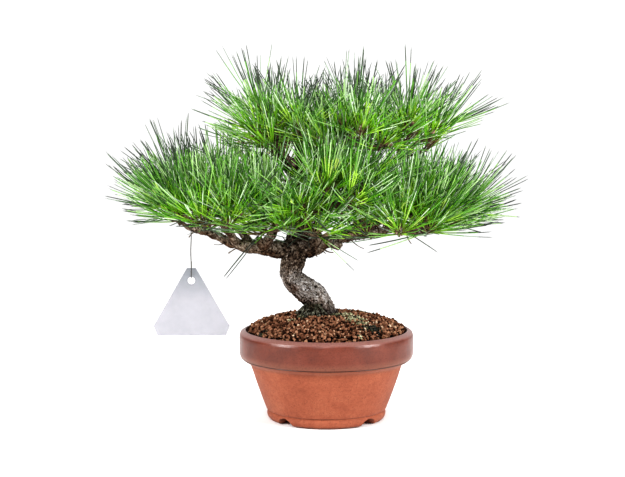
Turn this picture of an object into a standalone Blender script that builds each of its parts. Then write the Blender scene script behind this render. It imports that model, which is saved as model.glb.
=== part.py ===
"""Japanese black pine bonsai in its round clay pot, with a bare swing tag on a wire.

Metres, +Z up. The origin is on the surface that the pot stands on, under the middle of the crown.
The front of the tree faces -Y. The pot and its soil carry a trunk that bends to the left and rises
through the crown. Boughs leave the trunk, each ends at the foot of one mass of needles, and a mass is
a stem, twigs and shoots: a shoot is a slim core with needles standing out of it.
"""
import math

import bmesh
import bpy
import numpy as np
from mathutils import Matrix, Vector

# Clearance that touching pieces keep, the distance that welds points, and a curve's bevel at radius one
GAP = 0.0003
WELD = 0.00002
BEVEL_UNIT = 0.001
CREASE = math.radians(45)

# The pot: a turned wall with a thick band under its lip, on a foot ring with four notches
POT_X = 0.016
RIM_RADIUS = 0.100
LIP_TOP = 0.104
LIP_INNER_RADIUS = 0.0926
LIP_ROUND = 0.0033
BAND_TOP = 0.0986
BAND_BOTTOM = 0.074
BAND_ROUND = 0.0021
BAND_WALL = 0.010
BODY_TOP_RADIUS = 0.0872
BODY_TOP = 0.0635
BODY_FOOT_RADIUS = 0.069
BODY_FOOT = 0.0125
WALL = 0.0067
BODY_BELLY = 0.0008
GROOVE_HEIGHT = 0.011
GROOVE_DEPTH = 0.0025
GROOVE_HALF = 0.0018
FOOT_RING_RADIUS = 0.058
FOOT_RING_WIDTH = 0.012
FOOT_ROUND = 0.0042
FLOOR_TOP = 0.015
FLOOR_ROUND = 0.005
FLOOR_UNDERSIDE = 0.006
DRAIN_RADIUS = 0.009
FOOT_NOTCHES = 4
NOTCH_RADIUS = 0.0115
NOTCH_CENTRE = -0.0025
NOTCH_SIDES = 20
POT_STEPS = 28

# The soil: a mound that is level under the trunk
SOIL_TOP = 0.1205
SOIL_EDGE = 0.1015
SOIL_EDGE_RADIUS = 0.0912
SOIL_LEVEL_RADIUS = 0.030
SOIL_SLOPE = 0.20
SOIL_POWER = 6.0
SOIL_RINGS = 8
SOIL_CLEARANCE = 1.25 * GAP

# The trunk: stations of x, y, z and radius from the flat cut on the soil to the tip in the crown
TRUNK = [
    (0.0075, 0.0, SOIL_TOP + GAP, 0.0172),
    (0.0068, 0.0, 0.1330, 0.0158),
    (0.0023, 0.0, 0.1415, 0.0145),
    (-0.0092, -0.002, 0.1509, 0.0143),
    (-0.0212, -0.003, 0.1602, 0.0131),
    (-0.0246, -0.002, 0.1717, 0.0118),
    (-0.0220, 0.0, 0.1806, 0.0129),
    (-0.0189, 0.001, 0.1935, 0.0135),
    (-0.0172, 0.004, 0.2080, 0.0114),
    (-0.0150, 0.007, 0.2280, 0.0098),
    (-0.0105, 0.008, 0.2520, 0.0078),
    (-0.0100, 0.006, 0.2760, 0.0065),
    (-0.0142, 0.004, 0.2980, 0.0051),
    (-0.0165, 0.003, 0.3166, 0.0038),
]
TRUNK_RINGS = 2
TRUNK_SIDES = 14
ROOT_LOBES = 4
ROOT_TURN = math.radians(188)
ROOT_FLARE = 0.34
ROOT_HEIGHT = 0.007

# The boughs: the limb that carries each, and its stations of x, y, z and radius
BOUGHS = {
    "bough_left": ("trunk", [
        (-0.0189, 0.001, 0.1943, 0.0092),
        (-0.0576, -0.006, 0.1974, 0.0078),
        (-0.0882, -0.009, 0.2029, 0.0058),
        (-0.1143, -0.008, 0.2137, 0.0042),
        (-0.1440, -0.006, 0.2226, 0.0028),
    ]),
    "bough_right": ("trunk", [
        (-0.0177, 0.001, 0.1960, 0.0096),
        (0.0030, -0.003, 0.1972, 0.0083),
        (0.0142, -0.006, 0.2032, 0.0070),
        (0.0404, -0.009, 0.2103, 0.0052),
        (0.0790, -0.010, 0.2173, 0.0039),
        (0.1160, -0.008, 0.2195, 0.0028),
    ]),
    "bough_front": ("trunk", [
        (-0.0165, 0.003, 0.2135, 0.0073),
        (0.0050, -0.036, 0.2230, 0.0064),
        (0.0170, -0.066, 0.2461, 0.0036),
    ]),
    "bough_back": ("trunk", [
        (-0.0150, 0.006, 0.2290, 0.0058),
        (-0.0194, 0.052, 0.2406, 0.0044),
        (-0.0243, 0.072, 0.2508, 0.0033),
    ]),
    "bough_back_low": ("trunk", [
        (-0.0165, 0.004, 0.2110, 0.0058),
        (0.0080, 0.042, 0.2180, 0.0044),
        (0.0130, 0.062, 0.2260, 0.0032),
    ]),
    "bough_upper_right": ("trunk", [
        (-0.0110, 0.008, 0.2454, 0.0054),
        (0.0427, 0.000, 0.2747, 0.0042),
        (0.0924, -0.005, 0.2977, 0.0028),
    ]),
    "bough_upper_left": ("trunk", [
        (-0.0105, 0.007, 0.2650, 0.0050),
        (-0.0357, -0.006, 0.2978, 0.0039),
        (-0.0446, -0.010, 0.3127, 0.0030),
    ]),
    "bough_upper_back_right": ("trunk", [
        (-0.0100, 0.006, 0.2742, 0.0046),
        (0.0215, 0.044, 0.2997, 0.0034),
        (0.0334, 0.058, 0.3095, 0.0028),
    ]),
    "bough_upper_back_left": ("trunk", [
        (-0.0120, 0.005, 0.2857, 0.0044),
        (-0.0378, 0.044, 0.3043, 0.0033),
        (-0.0475, 0.060, 0.3129, 0.0027),
    ]),
    "bough_upper_front": ("trunk", [
        (-0.0115, 0.005, 0.2835, 0.0044),
        (0.0073, -0.032, 0.3081, 0.0034),
        (0.0127, -0.044, 0.3176, 0.0028),
    ]),
    "bough_left_front": ("bough_left", [
        (-0.0859, -0.009, 0.2030, 0.0044),
        (-0.0947, -0.034, 0.2197, 0.0036),
        (-0.0996, -0.046, 0.2265, 0.0029),
    ]),
    "bough_left_back": ("bough_left", [
        (-0.0655, -0.007, 0.1987, 0.0048),
        (-0.0840, 0.026, 0.2137, 0.0038),
        (-0.0954, 0.044, 0.2189, 0.0031),
    ]),
    "bough_left_inner": ("bough_left", [
        (-0.0560, -0.006, 0.1978, 0.0058),
        (-0.0475, -0.018, 0.2120, 0.0050),
        (-0.0420, -0.028, 0.2240, 0.0038),
    ]),
    "bough_right_front": ("bough_right", [
        (0.0381, -0.009, 0.2095, 0.0040),
        (0.0619, -0.042, 0.2250, 0.0034),
        (0.0736, -0.054, 0.2306, 0.0028),
    ]),
    "bough_right_back": ("bough_right", [
        (0.0154, -0.006, 0.2036, 0.0046),
        (0.0611, 0.034, 0.2246, 0.0038),
        (0.0839, 0.050, 0.2325, 0.0030),
    ]),
    "bough_front_left": ("bough_front", [
        (0.0005, -0.028, 0.2205, 0.0040),
        (-0.0080, -0.038, 0.2300, 0.0034),
        (-0.0120, -0.046, 0.2380, 0.0028),
    ]),
}

# Rings to each span between a bough's stations
BOUGH_RINGS = 2

# The masses of needles: the limb that carries each, the way from its tip to the pad's middle, the pad's
# half width, half depth and height, its number of shoots, the way they lean, how far they spread, the
# lowest slope a needle takes, and the seed
MASSES = {
    "needles_left_tip": ("bough_left", (-0.0040, 0.0000, 0.0190), (0.0260, 0.0400, 0.0110), 7,
                         (-0.50, 0.00, 0.70), 0.60, -0.40, 14),
    "needles_left_front": ("bough_left_front", (-0.0130, -0.0120, 0.0100), (0.0360, 0.0320, 0.0200), 6,
                           (-0.15, -0.40, 0.90), 0.65, -0.25, 333),
    "needles_left_back": ("bough_left_back", (-0.0220, 0.0020, 0.0325), (0.0405, 0.0340, 0.0135), 7,
                          (-0.25, 0.35, 0.95), 1.00, -0.10, 285),
    "needles_left_inner": ("bough_left_inner", (-0.0150, -0.0200, 0.0125), (0.0295, 0.0260, 0.0150), 6,
                           (0.00, -0.40, 0.90), 1.05, -0.55, 98),
    "needles_right_tip": ("bough_right", (0.0215, 0.0040, 0.0065), (0.0340, 0.0400, 0.0280), 7,
                          (0.80, 0.00, 0.65), 0.80, -0.30, 19),
    "needles_right_front": ("bough_right_front", (0.0250, -0.0080, -0.0025), (0.0400, 0.0300, 0.0200), 7,
                            (-0.30, -0.45, 0.90), 0.90, -0.40, 75),
    "needles_right_back": ("bough_right_back", (0.0380, 0.0020, 0.0045), (0.0420, 0.0340, 0.0205), 7,
                           (0.05, 0.35, 0.95), 0.85, -0.10, 345),
    "needles_front_centre": ("bough_front", (0.0115, -0.0060, 0.0135), (0.0400, 0.0260, 0.0260), 7,
                             (0.10, -0.45, 0.90), 0.90, -0.30, 207),
    "needles_front_left": ("bough_front_left", (-0.0100, -0.0140, -0.0095), (0.0300, 0.0240, 0.0180), 6,
                           (0.20, -0.45, 0.90), 1.05, -0.40, 147),
    "needles_back_centre": ("bough_back", (0.0080, -0.0040, 0.0320), (0.0540, 0.0300, 0.0220), 7,
                            (0.00, 0.50, 0.85), 0.85, -0.05, 312),
    "needles_back_low": ("bough_back_low", (-0.0070, 0.0120, 0.0115), (0.0460, 0.0260, 0.0130), 6,
                         (0.00, 0.60, 0.80), 1.05, -0.50, 85),
    "needles_upper_right": ("bough_upper_right", (0.0215, -0.0030, 0.0175), (0.0265, 0.0320, 0.0205), 6,
                            (0.70, 0.00, 0.80), 0.65, 0.20, 261),
    "needles_upper_left": ("bough_upper_left", (0.0045, -0.0040, 0.0090), (0.0180, 0.0340, 0.0255), 6,
                           (-0.15, -0.05, 0.95), 0.55, 0.05, 255),
    "needles_top": ("trunk", (0.0210, -0.0030, -0.0035), (0.0240, 0.0320, 0.0195), 6,
                    (0.20, -0.10, 1.00), 0.60, 0.05, 76),
    "needles_upper_back_right": ("bough_upper_back_right", (0.0415, 0.0000, 0.0095),
                                 (0.0380, 0.0300, 0.0195), 6, (0.35, 0.35, 0.90), 0.75, 0.00, 294),
    "needles_upper_back_left": ("bough_upper_back_left", (-0.0010, 0.0060, 0.0040),
                                (0.0235, 0.0300, 0.0230), 6, (-0.05, 0.35, 0.95), 0.70, 0.10, 387),
    "needles_upper_front": ("bough_upper_front", (0.0345, -0.0060, 0.0035), (0.0395, 0.0280, 0.0250), 6,
                            (0.05, -0.35, 0.95), 0.85, 0.00, 70),
}
NEEDLE_LENGTH = 0.080
LENGTH_RANGE = (0.80, 1.12)
LENGTH_TRIES = (1.0, 1.0, 1.0, 1.0, 0.8, 0.8, 0.6, 0.6, 0.4)
TURN_ASIDE = 0.07
SHOOT_RADIUS = 0.0024
SHOOT_STRETCH = 2.2
NEEDLE_FOOT_SHARE = 0.85
LEAN_FORWARD = 0.90
REAR_FACES = -0.5
TURN_UP = 0.16
NEEDLE_SEED = 106
STEM_SHARE = 0.55
STEM_LEAST = 0.012
KNEE_LENGTH = 0.004
STEM_BASE_SHARE = 0.90
FORK_SHARE = 0.5
TWIG_RADIUS = 0.0014
TWIG_TIP_RADIUS = 0.0010
TWIG_END_SHARE = 0.6
PLACE_NOISE = 0.003
AIM_NOISE = 0.20
VIGOUR = (0.82, 1.10)
GOLDEN_TURN = math.pi * (3.0 - math.sqrt(5.0))

# The tag: a bare plate with cut corners that hangs by its hole from a wire round the left bough
TAG_PIVOT = (-0.1383, -0.007, 0.1638)
TAG_THICKNESS = 0.0008
TAG_TOP = 0.0107
TAG_TOP_HALF = 0.0051
TAG_SIDE = -0.0559
TAG_SIDE_HALF = 0.0437
TAG_BOTTOM = -0.0670
TAG_BOTTOM_HALF = 0.0393
TAG_HOLE_RADIUS = 0.0044
TAG_HOLE_SIDES = 20
WIRE_RADIUS = 0.0005
HOOK_RADIUS = 0.0022
HOOK_LEG = 0.016
WIRE_PITCH = 0.0032
WIRE_TURNS = (0.6, 2.5)
WIRE_RING_POINTS = 16
WIRE_RING_MIDDLE = 0.8
WIRE_MARGIN = 0.002
WIRE_ON_BOUGH_X = -0.1347
HOOK_POINTS = 9


def unit(vector):
    """The vector, or each row of an array, at length one."""
    vector = np.asarray(vector, float)
    return vector / np.linalg.norm(vector, axis=-1, keepdims=True)


def smooth_path(stations, per_span):
    """Points on a smooth curve through the stations, which may carry a radius as a fourth number."""
    stations = np.asarray(stations, float)
    before = 2.0 * stations[0] - stations[1]
    after = 2.0 * stations[-1] - stations[-2]
    padded = np.vstack([before, stations, after])
    points = []
    for span in range(len(stations) - 1):
        a, b, c, d = padded[span:span + 4]
        for t in np.arange(per_span) / per_span:
            linear = (c - a) * t
            square = (2.0 * a - 5.0 * b + 4.0 * c - d) * t ** 2
            cube = (3.0 * b - a - 3.0 * c + d) * t ** 3
            points.append(b + 0.5 * (linear + square + cube))
    points.append(stations[-1])
    return np.array(points)


def material(name, colour, roughness, metallic=0.0):
    """A plain Principled material."""
    made = bpy.data.materials.new(name)
    made.use_nodes = True
    shader = made.node_tree.nodes["Principled BSDF"]
    shader.inputs["Base Color"].default_value = (*colour, 1.0)
    shader.inputs["Roughness"].default_value = roughness
    shader.inputs["Metallic"].default_value = metallic
    return made


def add_object(name, mesh, collection, finish=None):
    """A named object on the mesh, in the collection."""
    made = bpy.data.objects.new(name, mesh)
    collection.objects.link(made)
    if finish:
        mesh.materials.append(finish)
    return made


def mesh_from(bm, name):
    """The bmesh as a new mesh."""
    mesh = bpy.data.meshes.new(name)
    bm.normal_update()
    bm.to_mesh(mesh)
    bm.free()
    return mesh


def shade_round(thing):
    """Smooth shading, sharp over the crease angle."""
    thing.data.shade_smooth()
    thing.data.set_sharp_from_angle(angle=CREASE)


def hide_cutter(thing):
    """Marks an object as a cutter."""
    thing.hide_render = True
    thing.display_type = "WIRE"


def turned(name, profile, closed, collection, finish):
    """A profile of radius and height turned about the pot's axis."""
    bm = bmesh.new()
    points = [bm.verts.new((radius, 0.0, height)) for radius, height in profile]
    for first, second in zip(points, points[1:]):
        bm.edges.new((first, second))
    if closed:
        bm.edges.new((points[-1], points[0]))
    made = add_object(name, mesh_from(bm, name), collection, finish)
    made.location = (POT_X, 0.0, 0.0)
    screw = made.modifiers.new("turn", "SCREW")
    screw.axis = "Z"
    screw.steps = POT_STEPS
    screw.render_steps = POT_STEPS
    screw.use_merge_vertices = True
    screw.merge_threshold = WELD
    return made


def inner_wall():
    """Radius and height down the pot's inside, from the lip to the edge of its floor."""
    return [
        (LIP_INNER_RADIUS, LIP_TOP - 0.5 * LIP_ROUND),
        (LIP_INNER_RADIUS - 0.4 * LIP_ROUND, BAND_TOP),
        (RIM_RADIUS - BAND_WALL, BAND_BOTTOM + 2.0 * BAND_ROUND),
        (BODY_TOP_RADIUS - WALL, BODY_TOP),
        (BODY_FOOT_RADIUS - WALL, FLOOR_TOP + FLOOR_ROUND),
        (BODY_FOOT_RADIUS - WALL - FLOOR_ROUND, FLOOR_TOP),
    ]


def build_pot(collection, cutters):
    """The clay pot, its foot ring notched into four feet, with a drain hole."""
    foot_inner = FOOT_RING_RADIUS - FOOT_RING_WIDTH
    middle = 0.5 * (BODY_TOP_RADIUS + BODY_FOOT_RADIUS)
    outer = [
        (LIP_INNER_RADIUS + 0.5 * LIP_ROUND, LIP_TOP),
        (RIM_RADIUS - LIP_ROUND, LIP_TOP - 0.1 * LIP_ROUND),
        (RIM_RADIUS - 0.3 * LIP_ROUND, LIP_TOP - 0.7 * LIP_ROUND),
        (RIM_RADIUS, BAND_TOP),
        (RIM_RADIUS, BAND_BOTTOM),
        (RIM_RADIUS - BAND_ROUND, BAND_BOTTOM - BAND_ROUND),
        (BODY_TOP_RADIUS, BODY_TOP),
        (middle + BODY_BELLY, 0.5 * (BODY_TOP + BODY_FOOT)),
        (BODY_FOOT_RADIUS, BODY_FOOT),
        (BODY_FOOT_RADIUS - GROOVE_DEPTH, GROOVE_HEIGHT),
        (BODY_FOOT_RADIUS - 0.3 * GROOVE_DEPTH, GROOVE_HEIGHT - GROOVE_HALF),
        (BODY_FOOT_RADIUS - GROOVE_DEPTH, FOOT_ROUND),
        (0.5 * (BODY_FOOT_RADIUS + FOOT_RING_RADIUS), 0.25 * FOOT_ROUND),
        (FOOT_RING_RADIUS, 0.0),
        (foot_inner, 0.0),
        (foot_inner - 0.25 * FLOOR_UNDERSIDE, FLOOR_UNDERSIDE),
        (DRAIN_RADIUS, FLOOR_UNDERSIDE),
        (DRAIN_RADIUS, FLOOR_TOP),
    ]
    inside_up = list(reversed(inner_wall()))
    clay = material("orange_clay", (0.45, 0.15, 0.075), 0.75)
    pot = turned("pot", inside_up + outer, True, collection, clay)
    reach_in = foot_inner - 0.5 * FLOOR_UNDERSIDE
    reach_out = BODY_FOOT_RADIUS + FOOT_RING_WIDTH
    for index in range(FOOT_NOTCHES):
        turn = math.radians(45.0 + index * 360.0 / FOOT_NOTCHES)
        bm = bmesh.new()
        bmesh.ops.create_cone(bm, cap_ends=True, segments=NOTCH_SIDES, radius1=NOTCH_RADIUS,
                              radius2=NOTCH_RADIUS, depth=reach_out - reach_in)
        cutter = add_object(f"notch_{index}", mesh_from(bm, "notch"), cutters)
        middle_radius = 0.5 * (reach_in + reach_out)
        across = (middle_radius * math.cos(turn), middle_radius * math.sin(turn))
        cutter.location = (POT_X + across[0], across[1], NOTCH_CENTRE)
        cutter.rotation_euler = (0.0, math.pi / 2.0, turn)
        hide_cutter(cutter)
        cut = pot.modifiers.new(cutter.name, "BOOLEAN")
        cut.operation = "DIFFERENCE"
        cut.object = cutter
    shade_round(pot)


def soil_height(radius):
    """Height of the mound: level under the trunk, then an even slope that drops off at the edge."""
    past = max(radius - SOIL_LEVEL_RADIUS, 0.0)
    full = SOIL_EDGE_RADIUS - SOIL_LEVEL_RADIUS
    drop = SOIL_TOP - SOIL_EDGE - SOIL_SLOPE * full
    return SOIL_TOP - SOIL_SLOPE * past - drop * (past / full) ** SOIL_POWER


def build_soil(collection):
    """The soil that fills the pot: level under the trunk, mounded, and clear of the clay."""
    radii = np.linspace(SOIL_LEVEL_RADIUS, SOIL_EDGE_RADIUS, SOIL_RINGS)
    top = [(0.0, SOIL_TOP)] + [(radius, soil_height(radius)) for radius in radii]
    side = [(radius - SOIL_CLEARANCE, height) for radius, height in inner_wall()[1:-1]]
    edge_radius, edge_height = inner_wall()[-1]
    bottom = [(edge_radius - SOIL_CLEARANCE, edge_height + GAP), (0.0, edge_height + GAP)]
    granules = material("soil_granules", (0.16, 0.07, 0.045), 0.95)
    shade_round(turned("soil", top + side + bottom, False, collection, granules))


def trunk_mesh(name, grow=0.0):
    """The lofted trunk, grown all round by the given margin: rings on a smooth path, lobed at the roots."""
    path = smooth_path(TRUNK, TRUNK_RINGS)
    places = path[:, :3]
    ways = unit(np.gradient(places, axis=0))
    ways[0] = (0.0, 0.0, 1.0)
    places[0, 2] -= grow
    side = np.array((1.0, 0.0, 0.0))
    angles = np.arange(TRUNK_SIDES) * 2.0 * math.pi / TRUNK_SIDES
    lobes = 0.5 + 0.5 * np.cos(ROOT_LOBES * (angles - ROOT_TURN))
    bm = bmesh.new()
    rings = []
    for place, way, radius in zip(places, ways, path[:, 3] + grow):
        side = unit(side - way * np.dot(side, way))
        across = np.cross(way, side)
        fade = math.exp(-((place[2] - SOIL_TOP) / ROOT_HEIGHT) ** 2)
        reach = radius * (1.0 + ROOT_FLARE * fade * lobes)
        ring = place + np.outer(reach * np.cos(angles), side) + np.outer(reach * np.sin(angles), across)
        rings.append([bm.verts.new(point) for point in ring])
    for low, high in zip(rings, rings[1:]):
        for k in range(TRUNK_SIDES):
            after = (k + 1) % TRUNK_SIDES
            bm.faces.new((low[k], low[after], high[after], high[k]))
    bm.faces.new(list(reversed(rings[0])))
    bm.faces.new(rings[-1])
    bmesh.ops.recalc_face_normals(bm, faces=bm.faces)
    return mesh_from(bm, name)


def mesh_of_curve(name, curve):
    """The curve's evaluated surface as a mesh of its own, its caps welded."""
    holder = bpy.data.objects.new(name, curve)
    bpy.context.scene.collection.objects.link(holder)
    depsgraph = bpy.context.evaluated_depsgraph_get()
    mesh = bpy.data.meshes.new_from_object(holder.evaluated_get(depsgraph))
    bpy.data.objects.remove(holder)
    bm = bmesh.new()
    bm.from_mesh(mesh)
    bmesh.ops.remove_doubles(bm, verts=bm.verts, dist=WELD)
    bm.to_mesh(mesh)
    bm.free()
    mesh.name = name
    return mesh


def tube_mesh(name, points, radii, resolution):
    """A tube along the points, with a radius at each, from a bevelled curve."""
    curve = bpy.data.curves.new(name, "CURVE")
    curve.dimensions = "3D"
    curve.bevel_depth = BEVEL_UNIT
    curve.bevel_resolution = resolution
    curve.use_fill_caps = True
    spline = curve.splines.new("POLY")
    spline.points.add(len(points) - 1)
    for point, place, radius in zip(spline.points, points, radii):
        point.co = (*place, 1.0)
        point.radius = radius / BEVEL_UNIT
    return mesh_of_curve(name, curve)


def build_limbs(collection, cutters, bark):
    """The trunk and the boughs, each bough's foot cut to sit round the limb that carries it."""
    shade_round(add_object("trunk", trunk_mesh("trunk"), collection, bark))
    seats = {"trunk": add_object("seat_trunk", trunk_mesh("seat_trunk", GAP), cutters)}
    for name, (carrier, stations) in BOUGHS.items():
        path = smooth_path(stations, BOUGH_RINGS)
        bough = add_object(name, tube_mesh(name, path[:, :3], path[:, 3], 1), collection, bark)
        seats[name] = add_object("seat_" + name, tube_mesh(name, path[:, :3], path[:, 3] + GAP, 1), cutters)
        cut = bough.modifiers.new("seat", "BOOLEAN")
        cut.operation = "DIFFERENCE"
        cut.object = seats[carrier]
        shade_round(bough)
    for seat in seats.values():
        hide_cutter(seat)


class Space:
    """The tapering round pieces placed so far, to keep new ones clear of them."""

    def __init__(self):
        self.starts = np.zeros((0, 3))
        self.ends = np.zeros((0, 3))
        self.first = np.zeros(0)
        self.last = np.zeros(0)
        self.names = []

    def add(self, names, start, end, first, last):
        """Stores a piece from start to end, with its radius at each, under its names."""
        self.starts = np.vstack([self.starts, start])
        self.ends = np.vstack([self.ends, end])
        self.first = np.append(self.first, first)
        self.last = np.append(self.last, last)
        self.names.append(set(names))

    def is_clear(self, skipped, start, end, first, last):
        """True if the piece keeps the gap to every stored piece but those under a skipped name."""
        others = np.array([names.isdisjoint(skipped) for names in self.names], bool)
        if not others.any():
            return True
        start = np.asarray(start, float)
        way = np.asarray(end, float) - start
        base = self.starts[others]
        ways = self.ends[others] - base
        offset = start - base
        own_square = way @ way
        squares = (ways * ways).sum(1)
        mixed = ways @ way
        own_offset = offset @ way
        offsets = (ways * offset).sum(1)
        spread = np.maximum(own_square * squares - mixed ** 2, 1e-18)
        t = np.clip((mixed * offsets - own_offset * squares) / spread, 0.0, 1.0)
        s = np.clip((mixed * t + offsets) / squares, 0.0, 1.0)
        t = np.clip((mixed * s - own_offset) / own_square, 0.0, 1.0)
        apart = np.linalg.norm(offset + np.outer(t, way) - ways * s[:, None], axis=1)
        radii = first + (last - first) * t
        others_radii = self.first[others] + (self.last[others] - self.first[others]) * s
        return bool((apart > radii + others_radii + GAP).all())


def pad_shoots(middle, half, count, lean, spread, seed):
    """A pad's shoots: a turned spread over a low dome, aimed up and outward, each of its own vigour."""
    chance = np.random.default_rng(seed)
    index = np.arange(count)
    reach = np.sqrt((index + 0.5) / count)
    turn = index * GOLDEN_TURN + chance.uniform(0.0, 2.0 * math.pi)
    across = reach * np.cos(turn)
    deep = reach * np.sin(turn)
    dome = half[2] * (0.6 - reach ** 2)
    places = np.array(middle) + np.stack([half[0] * across, half[1] * deep, dome], 1)
    places += chance.normal(0.0, PLACE_NOISE, (count, 3))
    outward = spread * np.stack([across, deep, np.zeros(count)], 1)
    aims = unit(unit(lean) + outward + chance.normal(0.0, AIM_NOISE, (count, 3)))
    return places, aims, chance.uniform(*VIGOUR, count)


def cone_mesh(name, start, end, first, last, sides):
    """A straight tapering piece from start to end."""
    start, end = Vector(start), Vector(end)
    bm = bmesh.new()
    bmesh.ops.create_cone(bm, cap_ends=True, segments=sides, radius1=first, radius2=last,
                          depth=(end - start).length)
    turn = Vector((0.0, 0.0, 1.0)).rotation_difference(end - start).to_matrix().to_4x4()
    bmesh.ops.transform(bm, matrix=Matrix.Translation((start + end) / 2.0) @ turn, verts=bm.verts)
    return mesh_from(bm, name)


def free_needle(space, owner, foot, way, length, chance):
    """The tip of a needle that keeps clear, turned a little or shortened if it must, or None."""
    width = NEEDLE_FOOT_SHARE * SHOOT_RADIUS
    for share in LENGTH_TRIES:
        tip = foot + way * length * share
        if space.is_clear((owner,), foot, tip, width, 0.0):
            return tip
        way = unit(way + chance.normal(0.0, TURN_ASIDE, 3))
    return None


def shoot_mesh(name, place, aim, reach, lowest, space, chance):
    """A shoot: a slim core whose faces are drawn out into needles that turn forward and up."""
    bm = bmesh.new()
    bmesh.ops.create_icosphere(bm, subdivisions=1, radius=SHOOT_RADIUS)
    normals = [np.array(face.normal) for face in bm.faces]
    turn = Matrix.Rotation(chance.uniform(0.0, 2.0 * math.pi), 4, "Z")
    stand = Vector((0.0, 0.0, 1.0)).rotation_difference(Vector(aim)).to_matrix().to_4x4() @ turn
    stretch = Matrix.Diagonal((1.0, 1.0, SHOOT_STRETCH, 1.0))
    bmesh.ops.transform(bm, matrix=Matrix.Translation(place) @ stand @ stretch, verts=bm.verts)
    faces = list(bm.faces)
    tips = []
    for face, normal in zip(faces, normals):
        outward = np.array(stand.to_3x3() @ Vector(normal))
        way = unit(outward + LEAN_FORWARD * aim + np.array((0.0, 0.0, TURN_UP)))
        length = reach * chance.uniform(*LENGTH_RANGE)
        foot = np.array(face.calc_center_median())
        tip = None
        if way[2] > lowest and outward @ aim > REAR_FACES:
            tip = free_needle(space, name, foot, way, length, chance)
        if tip is not None:
            space.add((name,), foot, tip, NEEDLE_FOOT_SHARE * SHOOT_RADIUS, 0.0)
            tips.append((face, tip))
    poked = bmesh.ops.poke(bm, faces=[face for face, _ in tips])
    for point, (_, tip) in zip(poked["verts"], tips):
        point.co = tip
    return mesh_from(bm, name)


def one_body(mesh):
    """The mesh without sealed hollows and loose scraps: only its largest shell is kept."""
    bm = bmesh.new()
    bm.from_mesh(mesh)
    unseen = set(bm.verts)
    shells = []
    while unseen:
        shell = set()
        edge_of_search = [unseen.pop()]
        while edge_of_search:
            point = edge_of_search.pop()
            shell.add(point)
            near = [edge.other_vert(point) for edge in point.link_edges]
            fresh = [other for other in near if other in unseen]
            unseen.difference_update(fresh)
            edge_of_search.extend(fresh)
        shells.append(shell)
    shells.sort(key=len)
    for shell in shells[:-1]:
        bmesh.ops.delete(bm, geom=list(shell), context="VERTS")
    bm.to_mesh(mesh)
    bm.free()
    return mesh


def limb_tip(carrier):
    """Place, direction and radius at the end of a limb."""
    stations = TRUNK if carrier == "trunk" else BOUGHS[carrier][1]
    path = smooth_path(stations, BOUGH_RINGS)
    return path[-1, :3], unit(path[-1, :3] - path[-2, :3]), path[-1, 3]


def fill_space(space):
    """Stores every limb and the wire, so that twigs and needles keep clear of them."""
    limbs = {"trunk": TRUNK}
    limbs.update({name: stations for name, (_, stations) in BOUGHS.items()})
    for name, stations in limbs.items():
        path = smooth_path(stations, BOUGH_RINGS)
        for a, b in zip(path, path[1:]):
            space.add((name,), a[:3], b[:3], a[3], b[3])
    wire = wire_path()
    for a, b in zip(wire, wire[1:]):
        space.add(("tag_wire",), a, b, WIRE_MARGIN, WIRE_MARGIN)


def plan_mass(name, space):
    """A mass's stem and its shoots' places, each shoot with the fork and end of its twig."""
    carrier, way, half, count, lean, spread, _, seed = MASSES[name]
    tip, direction, radius = limb_tip(carrier)
    foot = tip + direction * GAP
    stem_length = max(STEM_LEAST, STEM_SHARE * np.linalg.norm(way))
    hub = foot + unit(direction + unit(way)) * stem_length
    stem_radius = STEM_BASE_SHARE * radius
    pad = pad_shoots(tip + np.array(way), half, count, lean, spread, seed)
    shoots = []
    for index, (place, aim, vigour) in enumerate(zip(*pad)):
        owner = f"{name}_{index}"
        fork = foot + (hub - foot) * (1.0 - FORK_SHARE * (count - 1 - index) / count)
        core_half = aim * SHOOT_RADIUS * SHOOT_STRETCH
        end = place - TWIG_END_SHARE * core_half
        twig = (fork, end, TWIG_RADIUS, TWIG_TIP_RADIUS)
        core = (place - core_half, place + core_half, SHOOT_RADIUS, SHOOT_RADIUS)
        if space.is_clear((name, carrier), *twig) and space.is_clear((name,), *core):
            shoots.append((owner, fork, end, place, aim, NEEDLE_LENGTH * vigour))
            space.add((name, owner), *twig)
            space.add((name, owner), *core)
    space.add((name,), foot, hub, stem_radius, TWIG_RADIUS)
    knee = foot + direction * KNEE_LENGTH
    stem = ([foot, knee, hub], [stem_radius, 0.9 * stem_radius, 1.15 * TWIG_RADIUS])
    return stem, shoots


def build_mass(name, stem, shoots, space, collection, leaf):
    """One mass: its stem, with the twigs and shoots joined to it by one union."""
    lowest, seed = MASSES[name][-2:]
    chance = np.random.default_rng(seed + NEEDLE_SEED)
    parts = bpy.data.collections.new(name + "_parts")
    bpy.context.scene.collection.children.link(parts)
    mass = add_object(name, tube_mesh(name, *stem, 0), collection, leaf)
    for owner, fork, end, place, aim, reach in shoots:
        twig = cone_mesh(owner + "_twig", fork, end, TWIG_RADIUS, TWIG_TIP_RADIUS, 3)
        add_object(twig.name, twig, parts)
        add_object(owner, shoot_mesh(owner, place, aim, reach, lowest, space, chance), parts)
    join = mass.modifiers.new("join", "BOOLEAN")
    join.operation = "UNION"
    join.operand_type = "COLLECTION"
    join.collection = parts
    join.solver = "MANIFOLD"
    depsgraph = bpy.context.evaluated_depsgraph_get()
    joined = bpy.data.meshes.new_from_object(mass.evaluated_get(depsgraph))
    mass.modifiers.remove(join)
    mass.data = one_body(joined)
    for piece in list(parts.objects):
        bpy.data.objects.remove(piece)
    bpy.data.collections.remove(parts)


def build_masses(collection, leaf):
    """Every stem and twig is placed first, then the needles find their way between them."""
    space = Space()
    fill_space(space)
    plans = {name: plan_mass(name, space) for name in MASSES}
    for name, (stem, shoots) in plans.items():
        build_mass(name, stem, shoots, space, collection, leaf)


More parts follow.
